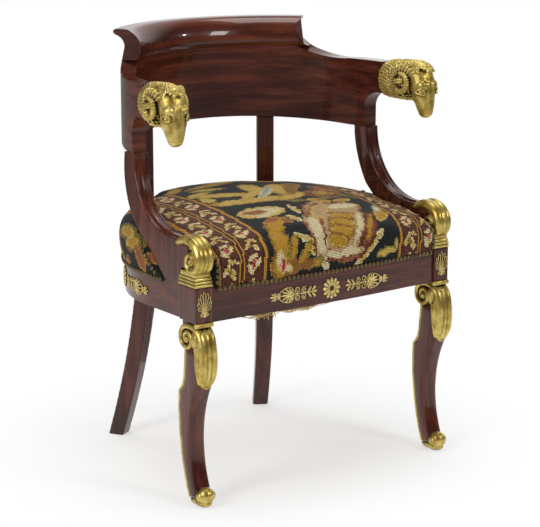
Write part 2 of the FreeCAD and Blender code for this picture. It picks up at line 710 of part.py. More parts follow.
# Seat: webbing and canvas on the rails, a stuffed dome and a close-nailed cover
NOTCH_LOW = "(%s - skirt_height - overcut)" % RAIL_TOP
SUPPORT_INSIDE = "(%s - support_width / 2 - seat_clearance)" % MIDDLE
OUTWARD = "(post_width + crest_lobe)"
notches = []
for name, side in SIDES.items():
    post_near = "(%s - cap_step - seat_clearance)" % POST_INSIDE
    post_x = post_near if side > 0 else "-%s - %s" % (post_near, OUTWARD)
    notches.append(box((post_x, FRONT + " - post_depth", NOTCH_LOW),
                       (OUTWARD, "2 * post_depth + 2 * cap_step", "seat_crown * 2")))
    foot_x = SUPPORT_INSIDE if side > 0 else "-%s - %s" % (SUPPORT_INSIDE, OUTWARD)
    notches.append(box((foot_x, FRONT, NOTCH_LOW),
                       (OUTWARD, "post_depth + cap_step + support_foot + seat_clearance",
                        "skirt_height + overcut + 2 * web_thickness")))
    sweep_x = "%d * (%s + %s / 2)" % (side, SUPPORT_INSIDE, OUTWARD)
    notches.append(side_shape(support_side("seat_clearance"), OUTWARD, sweep_x))
    notches.append(leg_box(side, PANEL_INSIDE + " - seat_clearance", "panel_radius + " + OUTWARD,
                           "-rear_leg_width / 2 - seat_clearance", "rear_leg_width / 2 + seat_clearance",
                           NOTCH_LOW, "panel_bottom_z"))
notch = fuse(notches)

WEB_LINES = (-2, -1, 0, 1, 2)
WEB_ROWS = (-1, 0, 1, 2)
lengthwise = group([box(("%d * web_pitch - web_width / 2" % line, "-2 * panel_radius", RAIL_TOP),
                        ("web_width", "4 * panel_radius", "web_thickness")) for line in WEB_LINES])
crosswise = group([box(("-2 * panel_radius", "tub_centre_y + %d * web_pitch - web_width / 2" % row,
                        RAIL_TOP + " + web_thickness"),
                       ("4 * panel_radius", "web_width", "web_thickness")) for row in WEB_ROWS])
web_zone = cut(seat_slab("canvas_inset", RAIL_TOP, "2 * web_thickness"), notch)
node(group([common(lengthwise, web_zone), common(crosswise, web_zone)]), "seat_webbing")
node(cut(seat_slab("canvas_inset", CANVAS_BOTTOM, "canvas_thickness"), notch), "seat_canvas")


def dome(inset, bottom, drop):
    """A crowned seat with a rolled upper edge, its top lowered by a drop."""
    half = "(panel_radius - rail_setback + seat_overhang)"
    fall = "(seat_crown - seat_edge_height)"
    radius = "((%s ^ 2 + %s ^ 2) / (2 * %s))" % (half, fall, fall)
    ball = doc.addObject("Part::Sphere", "Crown")
    ball.setExpression("Radius", formula("%s - %s" % (radius, drop)))
    place(ball, "0", "(%s + tub_centre_y + panel_radius) / 2" % FRONT,
          "%s + seat_crown - %s" % (RAIL_TOP, radius))
    slab = seat_slab(inset, bottom, "2 * seat_crown")
    crowned = common(slab, ball)
    doc.recompute()
    rolled = doc.addObject("Part::Fillet", "Rolled")
    rolled.Base = crowned
    roll = number("seat_edge_roll - %s" % drop)
    rim = number(bottom + " + overcut")
    rolled.Edges = [(index, roll, roll) for index, edge in enumerate(crowned.Shape.Edges, start=1)
                    if edge.BoundBox.ZMin > rim and edge.Length > 2 * roll]
    return rolled


SKIRT_LOW = "(%s - skirt_height)" % RAIL_TOP
skirt = cut(seat_slab("-(skirt_gap + cover_thickness)", SKIRT_LOW, "skirt_height"),
            seat_slab("-skirt_gap", SKIRT_LOW, "skirt_height"))
stuffed = dome("-skirt_gap", RAIL_TOP, "cover_thickness")
shell = cut(dome("-seat_overhang", RAIL_TOP, "0"), stuffed)
cover = cut(fuse([shell, skirt]), notch)
under_stuffing = seat_slab("-seat_overhang", RAIL_TOP, "2 * web_thickness + canvas_thickness")
node(cut(stuffed, notch, under_stuffing), "seat_stuffing")

LINING_LOW = "rail_bottom_z - 2 * collar_height"
lining_room = []
for side in SIDES.values():
    lining_room.append(box(("%d * %s - post_width" % (side, MIDDLE), FRONT + " - overcut", LINING_LOW),
                           ("2 * post_width", "post_depth + 2 * overcut", "4 * collar_height")))
    lining_room.append(leg_box(side, RAIL_INSIDE + " - overcut", "panel_radius + rear_splay",
                               "-rear_leg_width / 2 - seat_clearance", "rear_leg_width / 2 + seat_clearance",
                               LINING_LOW, "rail_bottom_z + overcut"))
node(cut(seat_slab("canvas_inset", "rail_bottom_z - lining_thickness", "lining_thickness"), *lining_room),
     "seat_lining")

# Nails: a close row round the seat, driven through the cover's edge into the rails
nail_z = number(RAIL_TOP + " - skirt_height / 2")
nail_out = number(RAIL_OUTSIDE + " + skirt_gap + cover_thickness")
nail_gap = number("seat_clearance + nail_head_radius")
pitch = number("nail_pitch")
tub_y = number("tub_centre_y")


def spread(length):
    """Even places along a row, about a pitch apart."""
    count = int(length / pitch)
    return [length * (index + 0.5) / count for index in range(count)]


def nail_on_tub(angle):
    way = Vector(math.sin(angle), math.cos(angle), 0)
    return Vector(0, tub_y, nail_z) + way * nail_out, way


leg_half = math.asin((number("rear_leg_width / 2") + nail_gap) / nail_out)
leg_turn = math.radians(number("rear_leg_angle"))
back_half = (leg_turn - leg_half) * nail_out
nail_rows = {"back": [nail_on_tub((run - back_half) / nail_out) for run in spread(2 * back_half)]}
side_start = number("%s + support_foot" % CAP_BACK) + nail_gap
straight_run = tub_y - side_start
round_run = (math.pi / 2 - leg_turn - leg_half) * nail_out
for name, side in SIDES.items():
    row = []
    for run in spread(straight_run + round_run):
        if run < straight_run:
            row.append((Vector(side * nail_out, side_start + run, nail_z), Vector(side, 0, 0)))
        else:
            row.append(nail_on_tub(side * (math.pi / 2 - (run - straight_run) / nail_out)))
    nail_rows[name] = row
bow = number("front_bow")
bow_half = number("%s + skirt_gap + cover_thickness" % RAIL_OUTSIDE)
bow_radius = (bow_half ** 2 + bow ** 2) / (2 * bow)
bow_front = number("%s - skirt_gap - cover_thickness - front_bow" % FRONT_RAIL_FACE)
front_half = number(POST_INSIDE + " - cap_step") - nail_gap
front_row = []
for run in spread(2 * front_half):
    angle = (run - front_half) / bow_radius
    way = Vector(math.sin(angle), -math.cos(angle), 0)
    front_row.append((Vector(0, bow_front + bow_radius, nail_z) + way * bow_radius, way))
nail_rows["front"] = front_row

head_radius = number("nail_head_radius")
head_height = number("nail_head_height")
shank_radius = number("nail_shank_radius")
nail_length = number("nail_length")
glue_gap = number("glue_gap")
nail_shape = Part.makeCone(head_radius, head_radius / 2, head_height).fuse(
    Part.makeCylinder(shank_radius, nail_length, Vector(), Vector(0, 0, -1)))
hole_start = Vector(0, 0, number("overcut"))
hole_length = nail_length + glue_gap + hole_start.z
hole_shape = Part.makeCylinder(shank_radius + glue_gap, hole_length, hole_start, Vector(0, 0, -1))


def along(shape, row):
    """A copy of a shape at each place of a row, turned to face outwards."""
    copies = []
    for point, way in row:
        copy = shape.copy()
        copy.Placement = FreeCAD.Placement(point, FreeCAD.Rotation(Vector(0, 0, 1), way))
        copies.append(copy)
    return solids(copies)


nail_holes = {name: along(hole_shape, row) for name, row in nail_rows.items()}
for name, row in nail_rows.items():
    node(along(nail_shape, row), "nails_" + name)
node(cut(cover, *nail_holes.values()), "seat_cover")

# Corner blocks: glued and screwed behind the front rail
blocks = []
screws = []
screw_room = []
block_low = "(rail_bottom_z + (rail_height - block_height) / 2)"


def screw(base, axis):
    """A screw through a block into a rail, and the hole that it needs."""
    length = "block_size + screw_bite"
    head_base = base - axis * number("screw_head_height")
    shank = Part.makeCylinder(number("screw_radius"), number(length), base, axis)
    head = Part.makeCylinder(number("screw_head_radius"), number("screw_head_height"), head_base, axis)
    hole = Part.makeCylinder(number("screw_radius") + glue_gap, number(length) + glue_gap, base, axis)
    return shank.fuse(head), hole


for side in SIDES.values():
    near = "(%s - glue_gap)" % RAIL_INSIDE
    block_x = "%s - block_size" % near if side > 0 else "-" + near
    block_y = FRONT_RAIL_BACK + " + glue_gap"
    blocks.append(box((block_x, block_y, block_low), ("block_size", "block_size", "block_height")))
    middle_x = side * number(near + " - block_size / 2")
    screw_y = number(block_y + " + block_size * 0.75")
    far_y = Vector(middle_x, number(block_y + " + block_size"), number(block_low + " + block_height / 3"))
    far_x = Vector(side * number(near + " - block_size"), screw_y,
                   number(block_low + " + block_height * 2 / 3"))
    for fixing, room in (screw(far_y, Vector(0, -1, 0)), screw(far_x, Vector(side, 0, 0))):
        screws.append(fixing)
        screw_room.append(room)
screw_holes = solids(screw_room)
node(cut(group(blocks), screw_holes), "corner_blocks")
node(solids(screws), "corner_block_screws")
node(cut(front_rail, nail_holes["front"], screw_holes), "front_rail")
node(cut(rear_rail, nail_holes["back"]), "rear_rail")
for name in SIDES:
    node(cut(side_rails[name], nail_holes[name], screw_holes), "side_rail_" + name)

# Gilt mounts: sprays and rosettes on the rails, palmettes on the posts
RAIL_MID_Z = "(rail_bottom_z + rail_height / 2 - skirt_height / 2)"


def spray_plan(way):
    """A spray from its flower end to the tip of its palm, which points along the way given."""
    def at(share, rise):
        return ("%d * spray_length * %s" % (way, share), "spray_height / 2 * %s" % rise)
    return [at("-0.5", "-0.7"), at("-0.36", "-0.3") + at("-0.2", "-1"),
            at("-0.05", "-0.3") + at("0.14", "-1"), at("0.32", "-0.15") + at("0.42", "-0.6"),
            at("0.5", "0") + at("0.42", "0.6"), at("0.32", "0.15") + at("0.14", "1"),
            at("-0.05", "0.3") + at("-0.2", "1"), at("-0.36", "0.3"), at("-0.5", "0.7")]


def rosette_plan():
    petals = int(number("rosette_petals"))

    def at(step, radius):
        turn = "(%s * 360 / rosette_petals * 1 deg)" % step
        return "%s * cos%s" % (radius, turn), "%s * sin%s" % (radius, turn)
    return [at(step, "rosette_radius * 0.82") + at(step + 0.5, "rosette_radius") for step in range(petals)]


PALM_LOBES = 7


def palmette_plan():
    """A fan of rounded leaves over a narrow foot."""
    def at(step, share):
        turn = "(%f deg)" % (-20 + 220 * step / PALM_LOBES)
        return ("palmette_width / 2 * %s * cos%s" % (share, turn),
                "palmette_height * 0.1 + palmette_height / 2 * %s * sin%s" % (share, turn))
    lobes = [at(step, "0.8") + at(step + 0.5, "1") for step in range(PALM_LOBES)]
    return lobes + [at(PALM_LOBES, "0.8"), ("-palmette_width / 6", "-palmette_height * 0.4"),
                    ("palmette_width / 6", "-palmette_height * 0.4")]


def flat_mount(plan, x, y, z, turn="0"):
    owner = body(x, y, z, turn)
    pad(owner, outline(owner, "XZ_Plane", plan), "mount_thickness", symmetric=False)
    return owner


rosette_y = FRONT_RAIL_FACE + " - front_bow - glue_gap"
node(flat_mount(rosette_plan(), "0", rosette_y, RAIL_MID_Z), "front_rosette")
bow_share = "(spray_offset / %s)" % POST_INSIDE
spray_y = "%s - front_bow * (1 - %s ^ 2) - glue_gap" % (FRONT_RAIL_FACE, bow_share)
spray_turn = "atan(2 * front_bow * spray_offset / %s ^ 2)" % POST_INSIDE
band = cut(cylinder(RAIL_OUTSIDE + " + mount_thickness", "rail_height", tub_at_rail),
           cylinder(RAIL_OUTSIDE, "rail_height", tub_at_rail))
for name, side in SIDES.items():
    node(flat_mount(spray_plan(side), "%d * spray_offset" % side, spray_y, RAIL_MID_Z,
                    "%d * %s" % (side, spray_turn)), "front_spray_" + name)
    node(flat_mount(palmette_plan(), "%d * %s" % (side, MIDDLE), FRONT,
                    "rail_bottom_z + rail_height / 2"), "post_palmette_" + name)
    rear_spray_angle = "2 * side_rosette_angle - side_spray_angle"
    for mount, angle, plan in (("side_spray_front", "side_spray_angle", spray_plan(-side)),
                               ("side_rosette", "side_rosette_angle", rosette_plan()),
                               ("side_spray_rear", rear_spray_angle, spray_plan(side))):
        owner = body("0", "tub_centre_y", RAIL_MID_Z, "90 - %d * (%s)" % (side, angle))
        pad(owner, outline(owner, "YZ_Plane", plan), "panel_radius + mount_thickness", symmetric=False)
        node(common(owner, band), "%s_%s" % (mount, name))

doc.recompute()
failed = [part.Label for part in doc.Objects if "Invalid" in part.State or "Error" in part.State]
failed += [part.Label for part in nodes if part.Shape.isNull() or not part.Shape.isValid()]
if failed:
    raise SystemExit("Failed: " + ", ".join(failed))
os.makedirs("parts", exist_ok=True)
for part in nodes:
    part.Shape.exportStep("parts/%s.step" % part.Label)
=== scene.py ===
import math
import random
import bpy
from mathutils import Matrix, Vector


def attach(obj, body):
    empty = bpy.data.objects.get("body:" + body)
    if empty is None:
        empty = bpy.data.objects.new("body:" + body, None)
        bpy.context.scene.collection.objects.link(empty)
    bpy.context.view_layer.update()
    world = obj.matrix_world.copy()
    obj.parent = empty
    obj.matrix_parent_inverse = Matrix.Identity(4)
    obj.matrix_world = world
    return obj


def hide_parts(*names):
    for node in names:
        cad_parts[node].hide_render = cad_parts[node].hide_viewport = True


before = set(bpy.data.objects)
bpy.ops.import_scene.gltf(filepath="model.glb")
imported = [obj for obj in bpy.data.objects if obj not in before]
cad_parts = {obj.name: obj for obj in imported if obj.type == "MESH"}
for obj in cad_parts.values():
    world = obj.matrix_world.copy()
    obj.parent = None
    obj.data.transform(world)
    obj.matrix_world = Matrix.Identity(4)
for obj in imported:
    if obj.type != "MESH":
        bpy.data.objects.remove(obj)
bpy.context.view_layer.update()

# Camera: a long lens that looks down a little on the chair's front left corner, as in the photograph.
# The picture is 540 pixels wide.
MM = 0.001
lens_pixels = 1918.4
picture_width = 540
look_down, look_round = 13.16, 35.765
camera_data = bpy.data.cameras.new("camera")
camera_data.sensor_width = 36
camera_data.lens = lens_pixels / picture_width * camera_data.sensor_width
camera_data.clip_end = 40
camera = bpy.data.objects.new("camera", camera_data)
camera.location = (-2.0765, -2.9329, 1.2079)
camera.rotation_euler = (math.radians(90 - look_down), 0, math.radians(-look_round))
bpy.context.scene.collection.objects.link(camera)
bpy.context.scene.camera = camera


# Studio: a pale floor that fades into a white room, with soft boxes on the left, in front and above, and
# a small lamp on the right for sparkle. Every finish is wired with the same small class, which turns
# sums on sockets into Math nodes.
class Wire:
    """A shader socket. Sums and comparisons on it add Math nodes to its material."""

    def __init__(self, tree, socket=None):
        self.tree = tree
        self.socket = socket

    def node(self, kind, settings=None, inputs=None, out=0):
        made = self.tree.nodes.new("ShaderNode" + kind)
        for name, value in (settings or {}).items():
            if name == "stops":
                stops = made.color_ramp.elements
                stops.remove(stops[1])
                for index, (place, tone) in enumerate(value):
                    stop = stops.new(place) if index else stops[0]
                    stop.position = place
                    stop.color = tone
            else:
                setattr(made, name, value)
        for name, value in (inputs or {}).items():
            if isinstance(value, Wire):
                self.tree.links.new(value.socket, made.inputs[name])
            else:
                made.inputs[name].default_value = value
        return Wire(self.tree, made.outputs[out] if made.outputs else None)

    def maths(self, operation, first, second=0.0, third=0.0):
        return self.node("Math", {"operation": operation}, {0: first, 1: second, 2: third})

    def mix(self, share, first, second):
        return self.node("Mix", {"data_type": "RGBA"}, {0: share, 6: first, 7: second}, out=2)

    def vector(self, operation, first, second=(0, 0, 0), out=0):
        return self.node("VectorMath", {"operation": operation}, {0: first, 1: second}, out)

    def shift(self, place, scale, start):
        """A place times a scale, plus a start."""
        return self.node("VectorMath", {"operation": "MULTIPLY_ADD"}, {0: place, 1: scale, 2: start})

    def axes(self, place):
        """The x, y and z of a place."""
        return [self.node("SeparateXYZ", {}, {0: place}, out=axis) for axis in range(3)]

    def point(self, x, y, z=0.0):
        return self.node("CombineXYZ", {}, {0: x, 1: y, 2: z})

    def noise(self, place, scale, detail, out=0, **others):
        return self.node("TexNoise", {}, {"Vector": place, "Scale": scale, "Detail": detail, **others}, out)

    def ramp(self, value, low, high, first=0.0, last=1.0, shape="LINEAR"):
        """Goes from a first number to a last one while a value goes from low to high."""
        return self.node("MapRange", {"interpolation_type": shape},
                         {"Value": value, "From Min": low, "From Max": high, "To Min": first, "To Max": last})

    def ease(self, value, low, high, first=0.0, last=1.0):
        """The same, with soft ends."""
        return self.ramp(value, low, high, first, last, "SMOOTHSTEP")

    def __add__(self, other):
        return self.maths("ADD", self, other)

    def __sub__(self, other):
        return self.maths("SUBTRACT", self, other)

    def __rsub__(self, other):
        return self.maths("SUBTRACT", other, self)

    def __mul__(self, other):
        return self.maths("MULTIPLY", self, other)

    def __truediv__(self, other):
        return self.maths("DIVIDE", self, other)

    def __lt__(self, other):
        return self.maths("LESS_THAN", self, other)

    def __gt__(self, other):
        return self.maths("GREATER_THAN", self, other)

    __radd__ = __add__
    __rmul__ = __mul__


def colour(red, green, blue):
    """A colour as seen on a screen, 0 to 255, as the shader's linear colour."""
    def linear(value):
        value = value / 255
        return value / 12.92 if value <= 0.04045 else ((value + 0.055) / 1.055) ** 2.4
    return (linear(red), linear(green), linear(blue), 1)


def finish(name):
    """A new material with no nodes, and a wire to start from."""
    material = bpy.data.materials.new(name)
    material.use_nodes = True
    material.node_tree.nodes.clear()
    return material, Wire(material.node_tree)


def output(start, shader):
    start.node("OutputMaterial", {}, {"Surface": shader})


def hold(*objects):
    """Selects these objects alone and takes the first in hand."""
    bpy.ops.object.select_all(action="DESELECT")
    for thing in objects:
        thing.select_set(True)
    bpy.context.view_layer.objects.active = objects[0]


floor_span = 12
shadow_pool = {"low": 0.22, "high": 0.66, "first": 0.52}
mirrored_floor = {"low": 1.4, "high": 2.9, "first": 0.85, "last": 0.2}
mirrored_share = 0.8
floor_material, start = finish("studio_floor")
seen = start.node("LightPath", out=0)
glossy = start.node("LightPath", out=3)
plain = start.node("BsdfDiffuse", {}, {"Color": colour(250, 250, 250)})
far = start.vector("LENGTH", start.node("TexCoord", out=3), out=1)
shine = start.ease(far, **mirrored_floor)
white = start.node("Emission", {}, {"Color": (1, 1, 1, 1), "Strength": seen + (1 - seen) * shine})
fade = start.ease(far, **shadow_pool)
share = start.maths("MAXIMUM", fade * seen, glossy * mirrored_share)
output(start, start.node("MixShader", {}, {0: share, 1: plain, 2: white}))
bpy.ops.mesh.primitive_plane_add(size=floor_span, location=(0, 0, 0))
studio_floor = bpy.context.object
studio_floor.name = "studio_floor"
studio_floor.data.materials.append(floor_material)

# What the polish mirrors of the room: its bright end behind the chair, a wall on the left and a screen
# high on the right, each with the way to it, its edge, and its light at the edge and in the middle
mirrored_room = [((0.58, 0.81, 0.0), 0.82, 0.06, 0.8), ((-0.72, 0.69, 0.0), 0.6, 0.0, 0.26),
                 ((0.8, 0.42, 0.42), 0.76, 0.0, 0.9)]
room_light = 0.36
world = bpy.data.worlds.new("studio")
bpy.context.scene.world = world
world.use_nodes = True
world.node_tree.nodes.clear()
air = Wire(world.node_tree)
sight = air.node("TexCoord", out=0)
mirrored = air.maths("MAXIMUM", air.node("LightPath", out=3), air.node("LightPath", out=6))
seen = air.node("LightPath", out=0)
glimpse = 0.0
for way, edge, dim, bright in mirrored_room:
    glimpse = glimpse + air.ease(air.vector("DOT_PRODUCT", sight, way, out=1), edge, 1.0, dim, bright)
glow = (1 - mirrored) * room_light + mirrored * glimpse
glow = glow * (1 - seen) + seen
room = air.node("Background", {}, {"Color": (1, 1, 1, 1), "Strength": glow})
air.node("OutputWorld", {}, {"Surface": room})


chair_middle = Vector((0, 0, 0.45))


def soft_box(name, place, width, height, power):
    """A rectangular lamp at a place, facing the middle of the chair."""
    data = bpy.data.lights.new(name, "AREA")
    data.shape = "RECTANGLE"
    data.size = width
    data.size_y = height
    data.energy = power
    lamp = bpy.data.objects.new(name, data)
    lamp.location = place
    lamp.rotation_euler = (chair_middle - Vector(place)).to_track_quat("-Z", "Y").to_euler()
    bpy.context.scene.collection.objects.link(lamp)


soft_box("soft_box_left", (-2.6, -0.6, 1.7), 0.9, 1.8, 38)
soft_box("soft_box_front", (1.0, -3.0, 2.4), 0.9, 1.0, 34)
soft_box("soft_box_above", (0.2, 0.3, 3.0), 1.6, 1.6, 36)
soft_box("small_lamp", (3.2, -2.3, 2.5), 0.2, 0.2, 12)
bpy.context.scene.view_settings.view_transform = "Standard"


# Polished mahogany: a dark red brown wood with fine pores and a brown flame, under a glossy french
# polish. The grain runs round the tub on the curved pieces and along the others.
tub = Vector((0, -67, 0))
tub_radius = 286
wood_tones = [(0.32, colour(36, 14, 9)), (0.5, colour(64, 26, 17)), (0.62, colour(90, 41, 26)),
              (0.78, colour(120, 64, 40))]
pore_tone = colour(34, 13, 10)


def mahogany(name, along, figure=1.0):
    """The finish with its grain along x, y or z, or round the tub."""
    material, start = finish(name)
    place = start.node("TexCoord", out=3)
    x, y, z = start.axes(place)
    if along == "tub":
        turn = start.maths("ARCTAN2", x, y - tub.y * MM)
        run, across, depth = start.maths("ABSOLUTE", turn) * (tub_radius * MM), z, y * 0.2
    else:
        run, across, depth = {"x": (x, z, y), "y": (y, z, x), "z": (z, x, y)}[along]
    sway = start.noise(start.point(run * 5, across * 9, depth * 9), 1.0, 3.0)
    bent = across + sway * (0.018 * figure)
    stripe = start.noise(start.point(run * 2.2, bent * 70, depth * 70), 1.0, 5.0, Roughness=0.6)
    pores = start.noise(start.point(run * 60, bent * 1400, depth * 1400), 1.0, 2.0)
    cloud = start.noise(place, 6.0, 2.0)
    wood = start.node("ValToRGB", {"stops": wood_tones}, {0: stripe * 0.72 + cloud * 0.34})
    pore = start.ramp(pores, 0.56, 0.7)
    wood = start.mix(pore * 0.45, wood, pore_tone)
    bump = start.node("Bump", {}, {"Strength": 0.04, "Distance": 0.0004, "Height": 1 - pore})
    skin = start.node("BsdfPrincipled", {}, {
        "Base Color": wood, "Roughness": 0.2 + stripe * 0.14, "Normal": bump, "Coat Weight": 0.6,
        "Coat Roughness": 0.04, "Specular IOR Level": 0.2})
    output(start, skin)
    return material


tub_mahogany = mahogany("mahogany_tub", "tub", 1.6)
upright_mahogany = mahogany("mahogany_upright", "z")
rail_mahogany = mahogany("mahogany_rail", "x")


def polish(finishes):
    """Gives made pieces that stay as they are their finishes."""
    for name, material in finishes.items():
        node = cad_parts[name]
        node.data.materials.clear()
        node.data.materials.append(material)


polish({"back_panel": tub_mahogany, "rear_rail": tub_mahogany, "side_rail_left": tub_mahogany,
        "side_rail_right": tub_mahogany, "front_rail": rail_mahogany})


def stand(piece, name, material, slot, *nodes, turn=0, place=(0, 0, 0)):
    """Turns a finished piece about the upright, moves it there and settles it in the chair."""
    piece.rotation_euler = (0, 0, math.radians(turn))
    piece.location = Vector(place) * MM
    hold(piece)
    bpy.ops.object.transform_apply(location=True, rotation=True, scale=True)
    piece.name = name
    piece.data.name = name
    piece.data.materials.clear()
    piece.data.materials.append(material)
    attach(piece, "root")
    if nodes:
        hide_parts(*nodes)
    return piece


# Crest rail: a mahogany moulding bent round the tub, with a full inner face that meets the panel in a
# crease and turns over behind in a lip. Its ends are cut back in a hollow.
crest_mahogany = mahogany("mahogany_crest", "tub", 0.8)
crest_section = [
    (258, 764), (255.4, 768), (253.8, 774), (253.4, 781), (254.6, 788), (257.4, 796), (261.6, 803.6),
    (266.7, 809.9), (271.3, 814.6), (276.9, 818.5), (285, 819.8), (300, 820), (303.4, 818.8), (305.5, 816.1),
    (305.9, 813.3), (305.1, 810.6), (303, 808.4), (298.4, 806.2), (294.1, 802.9), (291.4, 799.9),
    (288.6, 795.4), (286.9, 790.9), (286.2, 787.8), (286, 784), (286, 764)]
end_cut = [(764, 50.4), (768, 48.6), (774, 46.8), (782, 45.3), (792, 44.4), (802, 44.4), (810, 45.2),
           (815, 46.4), (821, 46.4)]
crest_reach = end_cut[0][1]
crest_steps = 112


def end_angle(height):
    """How far round the tub the crest reaches at a height, in degrees."""
    for (low, first), (high, last) in zip(end_cut, end_cut[1:]):
        if height <= high:
            return first + (last - first) * (height - low) / (high - low)


corner_count = len(crest_section)
profile = bpy.data.meshes.new("crest")
profile.from_pydata([(0, (tub.y + reach) * MM, z * MM) for reach, z in crest_section],
                    [(index, (index + 1) % corner_count) for index in range(corner_count)], [])
crest = bpy.data.objects.new("crest", profile)
bpy.context.scene.collection.objects.link(crest)
hold(crest)
bpy.ops.object.mode_set(mode="EDIT")
bpy.ops.mesh.select_all(action="SELECT")
bpy.ops.mesh.spin(steps=crest_steps, angle=math.radians(2 * crest_reach), center=tub * MM, axis=(0, 0, 1))
bpy.ops.mesh.select_all(action="SELECT")
bpy.ops.mesh.region_to_loop()
bpy.ops.mesh.edge_face_add()
bpy.ops.object.mode_set(mode="OBJECT")
turned = [math.atan2(vertex.co.x, vertex.co.y - tub.y * MM) for vertex in crest.data.vertices]
middle, widest = (min(turned) + max(turned)) / 2, (max(turned) - min(turned)) / 2
for vertex, turn in zip(crest.data.vertices, turned):
    reach = math.hypot(vertex.co.x, vertex.co.y - tub.y * MM)
    angle = (turn - middle) / widest * math.radians(end_angle(vertex.co.z / MM))
    vertex.co = (reach * math.sin(angle), tub.y * MM + reach * math.cos(angle), vertex.co.z)
hold(crest)
bpy.ops.object.mode_set(mode="EDIT")
bpy.ops.mesh.select_all(action="SELECT")
bpy.ops.mesh.normals_make_consistent(inside=False)
bpy.ops.object.mode_set(mode="OBJECT")
bpy.ops.object.shade_smooth_by_angle(angle=math.radians(32))
stand(crest, "crest_moulding", crest_mahogany, "mahogany", "crest_rail")


# Ram's heads: carved from wood in one lump each, with ridged horns, curled wool and a smooth face,
# gilded over a dark ground. Each is doweled to an arm's end and looks down and a little outwards.
def gilding(name, bright, middle, deep, rough, scratch, chase=0.0):
    """Gold in random patches of two tones, with a painted highlight on high edges, grime and painted shade in
    the hollows and creases, dark specks of wear, and chased strokes if wanted.
    """
    material, start = finish(name)
    place = start.node("TexCoord", out=3)
    hollow = start.node("AmbientOcclusion", {"samples": 8}, {"Distance": 0.006}, out=1)
    edges = start.node("NewGeometry", out=7)
    speck = start.noise(place, 420.0, 4.0, Roughness=0.65)
    patch = start.noise(place, 60.0, 3.0)
    gold = start.mix(start.ramp(patch, 0.35, 0.65), middle, bright)
    # Painted highlight: high, convex edges are painted toward the bright tone.
    gold = start.mix(start.ramp(edges, 0.5, 0.56) * 0.5, gold, bright)
    # Painted shade mixed with grime: hollows found by occlusion and creases found by pointiness go toward the
    # deep tone; the dark specks are scratches.
    open_face = start.ramp(hollow, 0.36, 0.94)
    groove = start.ramp(edges, 0.495, 0.44)
    grime_and_painted_shade = start.maths("MINIMUM", (1 - open_face) * 1.1 + groove * 0.8 + (speck > 0.63) * scratch, 1.0)
    gold = start.mix(grime_and_painted_shade, gold, deep)
    stretched = start.node("Mapping", {}, {"Vector": place, "Scale": (420, 420, 150)})
    stroke = start.noise(stretched, 1.0, 2.0, Distortion=0.8)
    bump = start.node("Bump", {}, {"Strength": 0.12 + chase, "Distance": 0.0006 + 0.0012 * chase,
                                   "Height": speck * (1 - chase) + stroke * chase})
    skin = start.node("BsdfPrincipled", {}, {"Base Color": gold, "Metallic": 0.82 - grime_and_painted_shade * 0.5,
                                             "Roughness": rough + speck * 0.16 + grime_and_painted_shade * 0.2, "Normal": bump})
    output(start, skin)
    return material


carved_gilt = gilding("gilt_carving", colour(228, 204, 116), colour(166, 137, 54), colour(34, 24, 10),
                      0.24, 0.5)
chased_gilt = gilding("gilt_chased", colour(228, 204, 120), colour(168, 139, 60), colour(30, 21, 9),
                      0.26, 0.6, 0.55)


def lump(place, size, turn=(0, 0, 0)):
    """An egg of carving wood in millimetres, turned in degrees."""
    bpy.ops.object.select_all(action="DESELECT")
    bpy.ops.mesh.primitive_uv_sphere_add(segments=20, ring_count=12, radius=MM, location=Vector(place) * MM,
                                         rotation=[math.radians(angle) for angle in turn], scale=size)
    return bpy.context.object


def rope(points, thickness):
    """A round bar through points, as thick at each as given, in millimetres."""
    curve = bpy.data.curves.new("rope", "CURVE")
    curve.dimensions = "3D"
    curve.bevel_depth = MM
    curve.bevel_resolution = 3
    curve.use_fill_caps = True
    line = curve.splines.new("POLY")
    line.points.add(len(points) - 1)
    for spot, point, radius in zip(line.points, points, thickness):
        spot.co = (*(Vector(point) * MM), 1)
        spot.radius = radius
    bar = bpy.data.objects.new("rope", curve)
    bpy.context.scene.collection.objects.link(bar)
    hold(bar)
    bpy.ops.object.convert(target="MESH")
    return bpy.context.object


def rounded(corners, steps):
    """Points on a smooth line through corners, so that a roll has no flats."""
    curve = bpy.data.curves.new("line", "CURVE")
    curve.dimensions = "3D"
    curve.resolution_u = steps
    line = curve.splines.new("NURBS")
    line.points.add(len(corners) - 1)
    for spot, corner in zip(line.points, corners):
        spot.co = (*corner, 1)
    line.use_endpoint_u = True
    line.order_u = 3
    holder = bpy.data.objects.new("line", curve)
    bpy.context.scene.collection.objects.link(holder)
    bpy.context.view_layer.update()
    mesh = bpy.data.meshes.new_from_object(holder)
    points = [vertex.co.copy() for vertex in mesh.vertices]
    bpy.data.objects.remove(holder)
    bpy.data.meshes.remove(mesh)
    return points


def melt(pieces, voxel, rounds):
    """Joins lumps into one closed carving and smooths it."""
    hold(*pieces)
    bpy.ops.object.join()
    carving = bpy.context.object
    bpy.ops.object.transform_apply(location=True, rotation=True, scale=True)
    remesh = carving.modifiers.new("melt", "REMESH")
    remesh.mode = "VOXEL"
    remesh.voxel_size = voxel * MM
    bpy.ops.object.modifier_apply(modifier="melt")
    soften = carving.modifiers.new("soften", "SMOOTH")
    soften.factor = 0.5
    soften.iterations = rounds
    bpy.ops.object.modifier_apply(modifier="soften")
    bpy.ops.object.shade_smooth()
    return carving


def twin(piece):
    """A copy with its own mesh."""
    copy = piece.copy()
    copy.data = piece.data.copy()
    bpy.context.scene.collection.objects.link(copy)
    return copy


bpy.ops.object.select_all(action="DESELECT")
bpy.ops.mesh.primitive_torus_add(major_segments=12, minor_segments=6, major_radius=1, minor_radius=0.58)
wool_ring = bpy.context.object
bpy.ops.mesh.primitive_uv_sphere_add(segments=10, ring_count=6, radius=0.62, location=(0, 0, 0.55))
hold(wool_ring, bpy.context.object)
bpy.ops.object.join()


